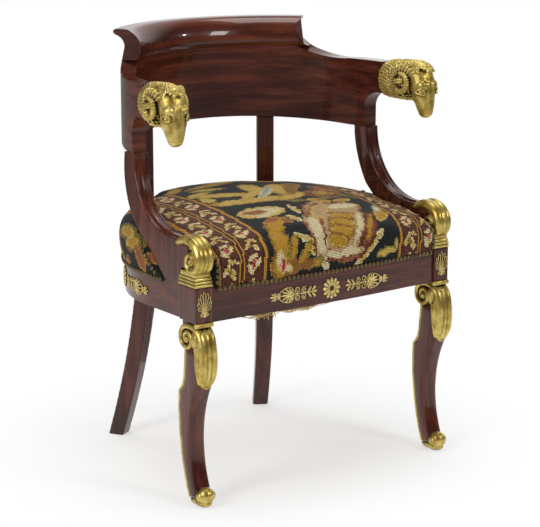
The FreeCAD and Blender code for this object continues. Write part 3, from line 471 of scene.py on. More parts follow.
def curl(place, away, size):
    """A snail of wool: a ring with a bead in it, facing away from the head."""
    lock = twin(wool_ring)
    lock.location = Vector(place) * MM
    lock.rotation_euler = Vector(away).to_track_quat("Z", "Y").to_euler()
    lock.scale = (size * MM,) * 3
    return lock


sides = ((-1, "left"), (1, "right"))
arm_x, arm_end_y, head_turn = 272, -60, 6.6
face, face_steps = [], 14
for step in range(face_steps + 1):
    share = step / face_steps
    width = 26 - 5 * share - 6.8 * share ** 3
    depth = 24 - 4.5 * share - 6 * share ** 3
    face.append(lump((0, -89 - 15 * share ** 0.7, 724 - 68 * share), (width, depth, 19 - 8 * share)))
for cheek in (-1, 1):
    face += [lump((cheek * 13, -105, 709), (11, 13, 11)), lump((cheek * 15, -97, 688), (9, 15, 15)),
             lump((cheek * 6.5, -115, 690), (5, 5, 26), (3, 0, cheek * 4))]
head = [melt(face, 1.3, 12)]
crown_line, crown_rise, crown_reach, crown_middle = 711, 0.07, 70, 52


def crown(forward):
    """How far the crown swells from its middle line, at a distance forward of the arm's end."""
    return max(0.02, 1 - ((forward - crown_middle) / crown_reach) ** 4) ** 0.5


for step in range(12):
    forward = 2 + 8 * step
    head.append(lump((0, -forward, crown_line + crown_rise * forward),
                     (23.5 * crown(forward), 12, 34 * crown(forward))))
horn_ridges, horn_steps, horn_eye = 29, 319, (-66, 715)
horn_start, horn_sweep = math.radians(28), math.radians(425)
for cheek in (-1, 1):
    # Eye between two lids, under the brow
    head.append(lump((cheek * 20.5, -109.5, 696.5), (4.6, 4.6, 4.4)))
    for lid in (5.4, -5.2):
        arc = rounded([(cheek * 25, -98, 697), (cheek * 24, -106, 697 + lid),
                       (cheek * 19, -115, 697 + lid * 0.9), (cheek * 15, -116, 693.5)], 6)
        head.append(rope(arc, [2.5] * len(arc)))
    # Horn: out of the crown, back, down and round to the cheek, ridged all along
    path, girth = [], []
    for step in range(horn_steps + 1):
        share = step / horn_steps
        angle = horn_start + horn_sweep * share
        reach = 22.5 - 9.5 * share ** 1.5
        side_out = 20 + 10 * min(1, share * 6) + 9 * max(0, share - 0.6)
        path.append((cheek * side_out, horn_eye[0] - reach * math.cos(angle),
                     horn_eye[1] + reach * 1.08 * math.sin(angle)))
        ridge = 0.52 + 0.48 * abs(math.sin(math.pi * horn_ridges * share)) ** 0.7
        girth.append((9.2 - 4.2 * share) * ridge)
    head.append(rope(path, girth))
    # Ear in the horn's ring, and locks that hang under it
    head += [lump((cheek * 33, -64, 717), (4.5, 14, 4.2), (-8, 0, cheek * -14)),
             lump((cheek * 34, -63, 712), (4, 12, 2.6), (-8, 0, cheek * -14))]
    for lock in range(14):
        place = (cheek * (17 + 5 * (lock % 3)), -50 - 2.6 * lock, 686 - 4 * (lock % 2))
        head.append(curl(place, (cheek, 0, -1), 3.0))
# Rows of curls over the crown, which leave the brow and the face free
rng = random.Random(7)
curl_pitch, curl_rows = 5.7, 21
for row in range(curl_rows):
    forward = 1 + curl_pitch * row
    swell = crown(forward)
    around = int(2 * math.pi * 32 * swell / curl_pitch)
    for column in range(around):
        angle = 2 * math.pi * (column + 0.5 * (row % 2) + rng.uniform(-0.16, 0.16)) / around
        if forward > 80 and math.cos(angle) < 0.3 or forward > 100 and math.cos(angle) < 0.75:
            continue
        spot = Vector((25 * swell * math.sin(angle), -forward + rng.uniform(-1, 1),
                       crown_line + crown_rise * forward + 36 * swell * math.cos(angle)))
        slope = 4 * (forward - crown_middle) ** 3 / crown_reach ** 4 * 18
        head.append(curl(spot, (math.sin(angle), -slope, math.cos(angle)), rng.uniform(2.2, 2.9)))
ram_head = melt(head, 0.95, 1)
for side, name in sides:
    stand(twin(ram_head), "ram_carving_" + name, chased_gilt, "gilt_carving", "ram_head_" + name,
          turn=side * head_turn, place=(side * arm_x, arm_end_y, 0))
for pattern in (ram_head, wool_ring):
    bpy.data.objects.remove(pattern)


# Arm scrolls: carved with three lobes that roll forwards over the front and curl up in a volute on
# each side, gilded, each on a stepped cap.
scroll_line = [(-170, 478), (-184, 485), (-200, 485.5), (-215, 481), (-227, 471.5), (-232, 458),
               (-229, 445), (-220, 437.5), (-208, 436), (-199, 441), (-195.5, 450), (-198, 459.5),
               (-206, 464), (-214, 461), (-217, 454), (-213, 447.5), (-206.5, 449), (-206, 454)]
scroll_girth = [5.2, 6.4, 6.8, 6.8, 6.6, 6.4, 6.2, 6.0, 5.6, 5.2, 4.8, 4.4, 4.0, 3.7, 3.4, 3.2, 3.2, 3.4]
scroll_lobes = [(-14.2, 0.72), (-9.4, 1.28), (0, 1.1), (9.4, 1.28), (14.2, 0.72)]
scroll_top, scroll_stretch = (-200, 487), (1.08, 1.1)


def roll(line, girth, x, steps=8):
    """A round bar in an upright plane, through smooth points of a side view."""
    flat = rounded([(y, z, thick) for (y, z), thick in zip(line, girth)], steps)
    return rope([(x, point.x, point.y) for point in flat], [point.z for point in flat])


lobes = [roll(scroll_line, [girth * share for girth in scroll_girth], x) for x, share in scroll_lobes]
lobes += [lump((0, -213, 456), (14.6, 21, 21)), lump((0, -196, 474), (13, 20, 8))]
arm_scroll = melt(lobes, 0.8, 3)
for vertex in arm_scroll.data.vertices:
    vertex.co.y = (scroll_top[0] + (vertex.co.y / MM - scroll_top[0]) * scroll_stretch[0]) * MM
    vertex.co.z = (scroll_top[1] + (vertex.co.z / MM - scroll_top[1]) * scroll_stretch[1]) * MM
for side, name in sides:
    stand(twin(arm_scroll), "arm_volute_" + name, carved_gilt, "gilt_carving", "arm_scroll_" + name,
          place=(side * arm_x, 0, 0))
bpy.data.objects.remove(arm_scroll)


# Caps under the scrolls: a gilt block of wood on three fillets, with a dark quirk between each two. The
# scroll's dowel goes through the cap into the post and holds both.
def block(place, size, edge):
    """A block with rounded edges, in millimetres."""
    bpy.ops.object.select_all(action="DESELECT")
    bpy.ops.mesh.primitive_cube_add(size=MM, location=Vector(place) * MM, scale=size)
    piece = bpy.context.object
    bpy.ops.object.transform_apply(location=True, rotation=True, scale=True)
    bevel = piece.modifiers.new("edge", "BEVEL")
    bevel.width = edge * MM
    bevel.segments = 3
    bpy.ops.object.modifier_apply(modifier="edge")
    return piece


cap_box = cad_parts["post_cap_right"].bound_box
cap_low, cap_high = cap_box[0][2] / MM, cap_box[6][2] / MM
cap_middle = (cap_box[0][1] + cap_box[6][1]) / 2 / MM
cap_width, cap_depth = (cap_box[6][0] - cap_box[0][0]) / MM, (cap_box[6][1] - cap_box[0][1]) / MM
fillet, quirk, fillet_insets = 5.8, 0.3, (0, 0.6, 1.4)
core_inset, core_height, block_inset = 3, 17, 3.5
block_low = cap_low + len(fillet_insets) * fillet
for side, name in sides:
    steps = []
    for index, inset in enumerate(fillet_insets):
        steps.append(block((side * arm_x, cap_middle, cap_low + fillet * (index + 0.5)),
                           (cap_width - 2 * inset, cap_depth - 2 * inset, fillet - quirk), 2.2))
    steps.append(block((side * arm_x, cap_middle, cap_low + 0.5 + core_height / 2),
                       (cap_width - 2 * core_inset, cap_depth - 2 * core_inset, core_height), 0.6))
    steps.append(block((side * arm_x, cap_middle, (block_low + cap_high) / 2),
                       (cap_width - 2 * block_inset, cap_depth - 2 * block_inset, cap_high - block_low), 1.2))
    hold(*steps)
    bpy.ops.object.join()
    cap = bpy.context.object
    bpy.ops.object.shade_smooth_by_angle(angle=math.radians(40))
    stand(cap, "fillet_cap_" + name, carved_gilt, "gilt_carving", "post_cap_" + name)


# Arm supports: mahogany sawn in a sweep, with a round bead between two fillets down the front, leaning
# inwards a little at the top, and doweled to the panel and the side rail.
sweep_middle, sweep_radius, sweep_steps = (-147, 613), 131, 24
foot_front, foot_block_place, foot_block_size = -190, (-188.5, 455.5), (28, 28, 42)
support_width = 28
support_beads = [(0, 10, 5.6), (-11.8, 2.4, 0.8), (11.8, 2.4, 0.8)]
lean_from, lean_height, lean_in, lean_taper, lean_forwards = 470, 140, 5, 3, 6


def front_line(inset):
    """The support's front edge in side view, set into the wood, from the panel down to the scroll."""
    line = []
    for step in range(sweep_steps + 1):
        angle = math.radians(90 * step / sweep_steps)
        line.append((sweep_middle[0] + (sweep_radius + inset) * math.cos(angle),
                     sweep_middle[1] - (sweep_radius + inset) * math.sin(angle)))
    line.append((foot_front, line[-1][1]))
    return line


def merge(body):
    """Joins the loose faces of a body into one skin."""
    hold(body)
    bpy.ops.object.mode_set(mode="EDIT")
    bpy.ops.mesh.select_all(action="SELECT")
    bpy.ops.mesh.remove_doubles(threshold=0.02 * MM)
    bpy.ops.object.mode_set(mode="OBJECT")


def copy_of(node_name):
    """A copy of a made piece to work on, with its loose faces merged."""
    body = twin(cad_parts[node_name])
    body.parent = None
    for key in list(body.keys()):
        del body[key]
    merge(body)
    return body


def within(share):
    """A share kept from nought to one."""
    return max(0.0, min(1.0, share))


for side, name in sides:
    parts = [copy_of("arm_support_" + name)]
    for x, thick, inset in support_beads:
        line = front_line(inset)
        parts.append(rope([(side * arm_x + x, y, z) for y, z in line], [thick] * len(line)))
    bpy.ops.object.select_all(action="DESELECT")
    bpy.ops.mesh.primitive_cube_add(size=MM, location=Vector((side * arm_x, *foot_block_place)) * MM,
                                    scale=foot_block_size)
    parts.append(bpy.context.object)
    carved = melt(parts, 1.0, 3)
    for vertex in carved.data.vertices:
        lift = within((vertex.co.z / MM - lean_from) / lean_height) ** 1.5
        inner = within(0.5 - (side * vertex.co.x / MM - arm_x) / support_width)
        vertex.co.x -= side * (lean_in + lean_taper * inner) * lift * MM
        vertex.co.y -= lean_forwards * lift * MM
    stand(carved, "swept_support_" + name, upright_mahogany, "mahogany", "arm_support_" + name)


# Front legs: square posts above, and below them a mahogany animal's leg with a rounded shin, sawn and
# then rasped to shape. The gilt strip on its back edge is half round.
wear_fade = 16


def worn(node_name, voxel, rounds, below, swell=0.0):
    """A copy of a made piece with its edges rounded off below a height, and made thicker there."""
    body = copy_of(node_name)
    remesh = body.modifiers.new("even", "REMESH")
    remesh.mode = "VOXEL"
    remesh.voxel_size = voxel * MM
    bpy.ops.object.modifier_apply(modifier="even")
    low = body.vertex_groups.new(name="low")
    for vertex in body.data.vertices:
        low.add([vertex.index], within((below - vertex.co.z / MM) / wear_fade), "REPLACE")
    wear = body.modifiers.new("wear", "SMOOTH")
    wear.factor = 0.6
    wear.iterations = rounds
    wear.vertex_group = "low"
    bpy.ops.object.modifier_apply(modifier="wear")
    fill = body.modifiers.new("fill", "DISPLACE")
    fill.strength = swell * MM
    fill.mid_level = 0
    fill.vertex_group = "low"
    bpy.ops.object.modifier_apply(modifier="fill")
    body.vertex_groups.clear()
    bpy.ops.object.shade_smooth_by_angle(angle=math.radians(40))
    return body


knee_top, leg_top = 334, 400
for side, name in sides:
    stand(worn("front_leg_" + name, 1.3, 95, knee_top, 2.2), "rounded_leg_" + name, upright_mahogany,
          "mahogany", "front_leg_" + name)
    stand(worn("leg_edge_" + name, 0.8, 5, leg_top, 1.3), "gilt_strip_" + name, carved_gilt,
          "gilt_carving", "leg_edge_" + name)
    stand(worn("leg_collar_" + name, 0.7, 14, leg_top, 0.6), "gilt_collar_" + name, carved_gilt,
          "gilt_carving", "leg_collar_" + name)


# Rear legs: square mahogany uprights that sweep back below the rails like a sabre. Sawn from one
# plank each, with the edges just eased.
rail_foot, sabre_top, sabre_bow = 341, 338, 9
upright_x, upright_width = 173.6, 30
splay_from, splay_height, splay_out, splay_taper = 410, 50, 2.5, 3.5
for side, name in sides:
    sabre = worn("rear_leg_" + name, 1.6, 6, sabre_top, 1.8)
    for vertex in sabre.data.vertices:
        share = within(vertex.co.z / MM / rail_foot)
        vertex.co.y -= sabre_bow * math.sin(math.pi * share) * MM
        above = within((vertex.co.z / MM - splay_from) / splay_height)
        inner = within(0.5 - (side * vertex.co.x / MM - upright_x) / upright_width)
        vertex.co.x += side * (splay_out + splay_taper * inner) * above * MM
        vertex.co.z = max(0, vertex.co.z)
    stand(sabre, "sabre_leg_" + name, upright_mahogany, "mahogany", "rear_leg_" + name)


# Knees: a gilt volute on each side of the leg's top that sweeps over the front into a long leaf of
# two lobes, with a raised rim round its tip, carved and glued on.
knee_eye, knee_turns, knee_size, eye_size, knee_steps = (-198, 309), 1.75, 23, 2.5, 24
knee_line, knee_girth = [], []
for step in range(knee_steps + 1):
    share = step / knee_steps
    angle = math.radians(90 - 360 * knee_turns * (1 - share))
    reach = eye_size + (knee_size - eye_size) * share
    knee_line.append((knee_eye[0] + reach * math.cos(angle), knee_eye[1] + reach * math.sin(angle)))
    knee_girth.append(3.3 + 2.0 * share)
knee_sweep = [(-212, 332), (-226, 328), (-237, 316), (-242, 297), (-242.5, 276), (-241, 258), (-238, 243),
              (-234, 232)]
knee_swell = [5.8, 6.1, 6.4, 6.8, 7.4, 7.8, 7.4, 5]
edge_swell = [4.4, 4.2, 4, 4, 4, 4, 4, 3]
leaf_lobes, leaf_edge, root_girth = 10.4, 14.4, 5.2
leaf_line = [knee_line[-1]] + knee_sweep
knee = []
for x in (-leaf_lobes, leaf_lobes):
    knee.append(roll(leaf_line, [root_girth] + [1.08 * girth for girth in knee_swell], x))
    knee.append(lump((x * 1.4, -233, 270), (5, 7, 40)))
knee.append(roll(leaf_line, [root_girth] + [0.95 * girth for girth in knee_swell], 0))
for x in (-leaf_edge, leaf_edge):
    knee.append(roll(knee_line + knee_sweep, knee_girth + edge_swell, x, 5))
    knee.append(lump((x * 1.05, *knee_eye), (4.6, 4, 4)))
rim_half = [(-17, -227, 296), (-18.2, -231, 268), (-17.8, -233.5, 250), (-14, -235, 236), (-7.5, -235.5, 227)]
rim = rounded(rim_half + [(0, -236, 223)] + [(-x, y, z) for x, y, z in reversed(rim_half)], 6)
knee.append(rope(rim, [3.0] * len(rim)))
knee += [lump((0, *knee_eye), (15.5, knee_size, knee_size)), lump((0, -219, 309), (18.5, 15, 25)),
         lump((0, -238, 274), (16.5, 6.5, 44)), lump((0, -222, 318), (15, 16, 14)),
         lump((0, -236, 233), (11, 4.5, 8))]
knee_carving = melt(knee, 0.75, 2)
for side, name in sides:
    stand(twin(knee_carving), "knee_carving_" + name, carved_gilt, "gilt_carving", "knee_scroll_" + name,
          place=(side * arm_x, 0, 0))
bpy.data.objects.remove(knee_carving)


# Feet: a gilt ball at the toe that rolls up from a sole, which thins out under the heel. Carved in one
# and cut level where it stands on the floor.
floor_cut = 0.1
foot = [lump((0, -231, 22), (16, 16, 16)), lump((0, -222, 9), (14, 22, 9)), lump((0, -209, 7), (12, 22, 7)),
        lump((0, -203, 5.5), (10, 14, 5)), lump((-13, -231, 22), (6, 9, 9)), lump((13, -231, 22), (6, 9, 9))]
foot_carving = melt(foot, 0.8, 3)
hold(foot_carving)
bpy.ops.object.mode_set(mode="EDIT")
bpy.ops.mesh.select_all(action="SELECT")
bpy.ops.mesh.bisect(plane_co=(0, 0, floor_cut * MM), plane_no=(0, 0, 1), use_fill=True, clear_inner=True)
bpy.ops.object.mode_set(mode="OBJECT")
for side, name in sides:
    stand(twin(foot_carving), "foot_carving_" + name, carved_gilt, "gilt_carving", "front_foot_" + name,
          place=(side * arm_x, 0, 0))
bpy.data.objects.remove(foot_carving)


# Seat: a domed cushion of stuffed hair under wool needlepoint, pulled down over the rails' edge. The
# cover swells between its nails, so its shape is blown up as cloth with its lower edge held.
def needlework(name):
    """Tent stitches of one colour each, in a floral design on a dark ground between striped borders."""
    material, start = finish(name)
    place = start.node("TexCoord", out=3)
    stitch = 3.0 * MM
    crown_z = 493 * MM
    x, y, z = start.axes(place)
    drop = start.maths("MAXIMUM", crown_z - z, 0.0)
    flank = start.ease(start.maths("ABSOLUTE", x), 0.235, 0.285)
    forward = start.ramp(y, -0.12, 0.12, -1.0)
    run = (x + start.maths("SIGN", x) * drop * flank) / stitch
    rise = (y + drop * forward) / stitch
    column = start.maths("FLOOR", run)
    row = start.maths("FLOOR", rise)
    u = (column + 0.5) * (stitch / MM)
    v = (row + 0.5) * (stitch / MM)
    spot = start.point(u, v)
    yarn = start.node("TexWhiteNoise", {"noise_dimensions": "2D"}, {0: start.point(column, row)})
    mottle = start.noise(spot, 0.06, 3.0)
    jitter = start.noise(spot, 0.11, 2.0, out=1)
    torn = start.vector("SUBTRACT", start.shift(jitter, (17, 17, 0), spot), (8.5, 8.5, 0))
    ground = start.mix(yarn * 0.6, colour(13, 19, 20), colour(26, 33, 33))
    gold, dull_gold, straw = colour(184, 140, 38), colour(140, 98, 30), colour(204, 172, 84)
    cream, fawn = colour(220, 204, 160), colour(186, 154, 108)
    brown, rust = colour(96, 50, 30), colour(152, 92, 52)
    red, pink = colour(176, 44, 50), colour(206, 132, 116)
    blue, moss = colour(146, 166, 158), colour(122, 116, 44)
    cloth = ground

    def petal(source, across, along, half_width, half_length, turn=0):
        """Less than one inside an ellipse in millimetres, and more outside it."""
        local = start.node("Mapping", {"vector_type": "TEXTURE"}, {
            "Vector": source, "Location": (across, along, 0), "Rotation": (0, 0, math.radians(turn)),
            "Scale": (half_width, half_length, 1)})
        return start.vector("LENGTH", local, out=1)

    def laid(work):
        """Takes new work as the cloth, and ties the next yarns' place to it, so they are laid in turn."""
        nonlocal cloth, torn, u, v
        hint = 1e-6
        cloth = work
        torn = start.shift(cloth, (hint, hint, 0), torn)
        late = start.node("SeparateXYZ", {}, {0: cloth}) * hint
        u = u + late
        v = v + late

    def paint(inner, rim, *petals, band=0.78, source=None):
        """Lays petals of one yarn with a ragged rim of another over what is already worked."""
        reach = petal(source or torn, *petals[0])
        for other in petals[1:]:
            reach = start.maths("MINIMUM", reach, petal(source or torn, *other))
        ragged = reach + mottle * 0.9 + yarn * 0.24
        laid(start.mix(reach < 1.0, cloth, start.mix(ragged > band + 0.57, inner, rim)))

    # Great tulip at the front, of cream and russet petals about a gold heart, with a leaf on each side.
    # A petal is given by its middle, its half width, its half length and its turn.
    paint(straw, cream, (-44, -290, 11, 58, 36), (86, -304, 10, 46, -46), (-16, -148, 6, 28, -8),
          (-45, -190, 7, 20, 10))
    paint(fawn, rust, (32, -242, 78, 86, -18), (30, -168, 34, 60, -44), (80, -176, 30, 54, -54))
    paint(rust, brown, (90, -262, 19, 62, -26), band=0.6)
    paint(gold, rust, (93, -256, 6.5, 48, -26))
    paint(cream, fawn, (-24, -252, 20, 70, -4), (69, -250, 11, 62, -26), (24, -308, 48, 11),
          (86, -162, 42, 17, 10))
    paint(rust, brown, (-43, -262, 3.4, 52, 2), (-9, -236, 4.2, 58, -12), (26, -320, 46, 4),
          (8, -166, 4.4, 50, -48))
    paint(fawn, straw, (20, -176, 16, 42, -42))
    paint(dull_gold, fawn, (30, -244, 36, 68, -24), band=0.7)
    paint(gold, dull_gold, (30, -244, 30, 60, -24), band=0.8)
    for step in range(4):
        heart_u, heart_v, heart_half = 51 - 13 * step, -202 - 25 * step, 28 - 2 * step
        paint(rust, dull_gold, (heart_u, heart_v, heart_half, 12, -18), band=0.62)
        paint(gold, straw, (heart_u - 2, heart_v - 8, heart_half, 13, -18), band=0.92)
    # Gold acanthus on the left of it, with a curled tip, and a red bud at its foot
    paint(gold, dull_gold, (-112, -262, 19, 66, -6), (-98, -206, 22, 32, -30), (-76, -190, 20, 22, 30),
          (-116, -312, 24, 26))
    paint(ground, ground, (-70, -214, 14, 13))
    paint(rust, gold, (-88, -178, 24, 9, 18), (-66, -192, 8, 15, 26))
    paint(gold, moss, (-88, -286, 8, 36, -12), (-66, -302, 9, 30, -30), (-42, -318, 20, 8, 14))
    paint(dull_gold, rust, (-92, -318, 20, 14), (-58, -318, 14, 10))
    paint(cream, straw, (-116, -304, 10, 22, 12), (-104, -318, 14, 8, -20))
    paint(red, pink, (-112, -310, 5, 13, 10))
    # Cream leaf with a russet vein behind them
    paint(cream, straw, (-80, -134, 47, 29, -6))
    paint(rust, fawn, (-92, -130, 27, 13, -12))
    # Lily across the crown with a blue heart between curling gold petals
    paint(straw, gold, (-52, -62, 84, 21, -14), (36, -72, 50, 16, 24), (-70, 6, 62, 18, -34))
    paint(ground, ground, (-62, -36, 44, 10, -18))
    paint(straw, gold, (-24, -24, 60, 13, 36), (52, -6, 26, 62, -26), (10, 26, 22, 54, -16))
    paint(dull_gold, gold, (64, -28, 14, 52, -34), (96, 16, 20, 46, -40))
    paint(cream, straw, (14, -18, 13, 54, -42))
    paint(blue, cream, (18, -12, 8, 48, -42), (-14, -46, 16, 6, 38))
    paint(straw, moss, (-104, 46, 44, 15, 16), (-58, 74, 40, 14, -24), (-112, -6, 14, 24))
    # Brown and gold flowers on the right, leaves and a pear-shaped bud
    paint(brown, rust, (112, -70, 46, 34, 20), (146, -24, 30, 36))
    paint(rust, gold, (112, -66, 26, 20, 20), (144, -24, 17, 22))
    paint(gold, straw, (114, -66, 11, 9), (62, -116, 24, 12, -30), (112, -124, 26, 9, 16))
    paint(moss, dull_gold, (86, -104, 24, 9, 30), (150, -86, 9, 28, 24), (20, -106, 20, 9, -10))
    paint(gold, straw, (148, -210, 17, 44, -38))
    paint(cream, blue, (160, -176, 9, 40, -36))
    paint(straw, moss, (128, -318, 28, 8, 6), (152, -306, 8, 12))
    # Leaves and roses towards the back
    paint(gold, dull_gold, (-20, 124, 70, 20, 14), (96, 112, 52, 20, -28), (-98, 134, 44, 16, 44))
    paint(rust, fawn, (28, 164, 36, 26), (-62, 196, 34, 24), (120, 190, 30, 26))
    paint(cream, straw, (28, 166, 22, 15), (-62, 198, 20, 13), (120, 192, 18, 14))
    paint(straw, moss, (-20, 216, 46, 12, 20), (70, 236, 40, 14, -12), (4, 270, 70, 14))
    # Gold flowers and brown leaves at both outer sides
    for side in (-1, 1):
        paint(moss, dull_gold, (side * 296, 30, 24, 64, side * 20), (side * 326, -36, 24, 56),
              (side * 292, 130, 22, 60, side * 16))
        paint(gold, straw, (side * 300, 24, 15, 46, side * 20), (side * 330, -30, 13, 40),
              (side * 296, 126, 12, 44, side * 16))
        paint(rust, gold, (side * 356, -84, 16, 40, side * 30), (side * 340, 84, 22, 30),
              (side * 366, 20, 14, 34), (side * 350, -130, 14, 26))
        paint(gold, straw, (side * 340, 84, 11, 15), (side * 366, 30, 6, 22))
    # Borders: two brown stripes on each side between gold lines, with sprigs that climb along them
    lean, lean_start, sprig_pitch = 0.06, 150.0, 92.0
    for inner, outer in ((-140, -237), (170, 267)):
        middle = (inner + outer) / 2
        half = abs(inner - outer) / 2
        away = start.maths("ABSOLUTE", u - (v + lean_start) * lean - middle)
        laid(start.mix(away < half, cloth, start.mix(yarn * 0.7, colour(74, 36, 24), colour(108, 58, 38))))
        for lane, shift in ((-half / 2, 0.0), (half / 2, sprig_pitch / 2)):
            border = u - (v + lean_start) * lean
            climb = start.maths("MODULO", v + 10 * sprig_pitch + shift, sprig_pitch)
            sprig = start.shift(jitter, (15, 15, 0), start.point(border - (middle + lane), climb))
            sprig = start.vector("SUBTRACT", sprig, (7.5, 7.5, 0))
            paint(cream, straw, (-7, 14, 5, 13, 28), (7, 22, 5, 13, -30), (-3, 36, 11, 5, 22), source=sprig)
            paint(straw, cream, (7, 58, 5, 12, 26), (-7, 67, 5, 13, -30), (4, 80, 11, 5, -20), source=sprig)
            paint(red, pink, (0, 23, 5, 7), band=0.66, source=sprig)
            paint(moss, dull_gold, (-2, 64, 4, 5), source=sprig)
        for line, gap in ((inner, 0.0), (middle, 2.4), (outer, 0.0)):
            near = start.maths("ABSOLUTE", u - (v + lean_start) * lean - line)
            laid(start.mix(near < 6.6, cloth, colour(70, 34, 22)))
            braid = start.mix(yarn * 0.8, colour(206, 154, 50), colour(150, 98, 30))
            laid(start.mix((near < 3.1 + gap) * (near > gap), cloth, braid))
    # Each stitch is a small slanting bead of wool. Its colour is painted darker in the gaps between stitches
    # as painted shade and lighter on its top as a painted highlight, times a random yarn tone
    along = start.maths("FRACT", run) - 0.5
    up = start.maths("FRACT", rise) - 0.5
    bead = start.maths("MAXIMUM", 1 - (along * along + up * up) * 3.2 - along * up * 1.4, 0.0)
    stitch_shade_and_yarn_tone = start.ramp(bead, 0.0, 0.8, 0.1, 1.12) * (yarn * 0.3 + 0.84)
    cloth = start.vector("MULTIPLY", cloth, start.point(stitch_shade_and_yarn_tone, stitch_shade_and_yarn_tone, stitch_shade_and_yarn_tone))
    fuzz = start.noise(place, 2600.0, 2.0)
    bump = start.node("Bump", {}, {"Strength": 0.55, "Distance": 0.0012, "Height": bead + fuzz * 0.18})
    skin = start.node("BsdfPrincipled", {}, {
        "Base Color": cloth, "Roughness": 0.86, "Normal": bump, "Sheen Weight": 0.08, "Sheen Roughness": 0.5,
        "Specular IOR Level": 0.2})
    output(start, skin)
    return material


needlepoint = needlework("needlepoint")
cushion_voxel, flank_low, flank_high, nailed_height = 5.2, 412, 492, 422
flank_fullness, front_fullness, front_edge = 7, 3, -190
most_swell, less_on_top, pictures = 12, 6, 20
hold(copy_of("seat_cover"), copy_of("seat_stuffing"))
bpy.ops.object.join()
cushion = bpy.context.object
merge(cushion)
remesh = cushion.modifiers.new("even", "REMESH")
remesh.mode = "VOXEL"
remesh.voxel_size = cushion_voxel * MM
bpy.ops.object.modifier_apply(modifier="even")
for vertex in cushion.data.vertices:
    share = (vertex.co.z / MM - flank_low) / (flank_high - flank_low)
    if 0 < share < 1:
        fullness = flank_fullness if vertex.co.y > front_edge * MM else front_fullness
        vertex.co += vertex.normal * fullness * (1 - abs(vertex.normal.z)) * math.sin(math.pi * share) * MM
held_edge = cushion.vertex_groups.new(name="held")
held_edge.add([vertex.index for vertex in cushion.data.vertices if vertex.co.z < nailed_height * MM], 1.0,
              "REPLACE")
first_shape = [(vertex.co.copy(), vertex.normal.copy()) for vertex in cushion.data.vertices]
stuffed = cushion.modifiers.new("swell", "CLOTH").settings
stuffed.use_pressure = True
stuffed.uniform_pressure_force = 7
stuffed.vertex_group_mass = "held"
stuffed.effector_weights.gravity = 0
stuffed.shrink_min = -0.05
stuffed.tension_stiffness = 12
stuffed.compression_stiffness = 12
stuffed.quality = 5
for picture in range(1, pictures + 1):
    bpy.context.scene.frame_set(picture)
hold(cushion)
bpy.ops.object.modifier_apply(modifier="swell")
bpy.context.scene.frame_set(1)
for vertex, (before, outwards) in zip(cushion.data.vertices, first_shape):
    swell = (vertex.co - before).dot(outwards)
    most = (most_swell - less_on_top * max(0, outwards.z)) * MM
    vertex.co = before + outwards * max(0.0, min(most, swell))
hold(cushion)
soften = cushion.modifiers.new("soften", "SMOOTH")
soften.factor = 0.5
soften.iterations = 6
bpy.ops.object.modifier_apply(modifier="soften")
rounder = cushion.modifiers.new("rounder", "SUBSURF")
rounder.levels = 1
rounder.render_levels = 1
bpy.ops.object.modifier_apply(modifier="rounder")
bpy.ops.object.shade_smooth()
stand(cushion, "needlepoint_seat", needlepoint, "needlepoint", "seat_cover", "seat_stuffing")


# Close nails: antique brass with domed heads, driven edge to edge through the cover into the rails,
# and up the back of each arm support where the cover's edge is turned in.
nail_brass = gilding("nail_brass", colour(128, 108, 72), colour(72, 58, 38), colour(22, 17, 12), 0.28, 0.3)
nail_row = {"nails_front": [], "nails_back": [], "nails_left": [], "nails_right": []}
nail_z, nail_reach, nail_pitch, nail_radius, nail_height = 400, 287.3, 9.6, 4.6, 0.68
front_half, front_corner, bow, cover_thick = 246.5, -227, 14, 3.3
bow_radius = (nail_reach ** 2 + bow ** 2) / (2 * bow)
bow_front = front_corner - cover_thick - bow
end_gap, leg_turn, leg_width = 5.2, math.radians(30.5), 33
leg_half = math.asin((leg_width / 2 + end_gap) / nail_reach)
post_back, support_depth = -175.5, 51


def spread_out(length):
    """Even places along a row."""
    count = int(length / nail_pitch)
    return [length * (index + 0.5) / count for index in range(count)]


def on_tub(angle):
    """A nail's place and its way out, at a turn round the tub from straight behind."""
    way = Vector((math.sin(angle), math.cos(angle), 0))
    return tub + Vector((0, 0, nail_z)) + way * nail_reach, way


for run in spread_out(2 * front_half):
    angle = (run - front_half) / bow_radius
    way = Vector((math.sin(angle), -math.cos(angle), 0))
    nail_row["nails_front"].append((Vector((0, bow_front + bow_radius, nail_z)) + way * bow_radius, way))
back_half = (leg_turn - leg_half) * nail_reach
for run in spread_out(2 * back_half):
    nail_row["nails_back"].append(on_tub((run - back_half) / nail_reach))
side_start = post_back + support_depth + end_gap
straight = tub.y - side_start
bend = (math.pi / 2 - leg_turn - leg_half) * nail_reach
for side, name in sides:
    for run in spread_out(straight + bend):
        if run < straight:
            nail = Vector((side * nail_reach, side_start + run, nail_z)), Vector((side, 0, 0))
        else:
            nail = on_tub(side * (math.pi / 2 - (run - straight) / nail_reach))
        nail_row["nails_" + name].append(nail)


def on_cover(start, way):
    """Where a level line meets the cushion, and which way its surface faces there."""
    hit, spot, normal, index = cushion.ray_cast(Vector(start) * MM, Vector(way))
    return [(spot / MM, normal)] if hit else []


def along(corners):
    """Even points on a broken line of the side view."""
    points = []
    for first, last in zip(corners, corners[1:]):
        leg = Vector(last) - Vector(first)
        count = max(1, round(leg.length / nail_pitch))
        points += [Vector(first) + leg * (index / count) for index in range(count)]
    return points


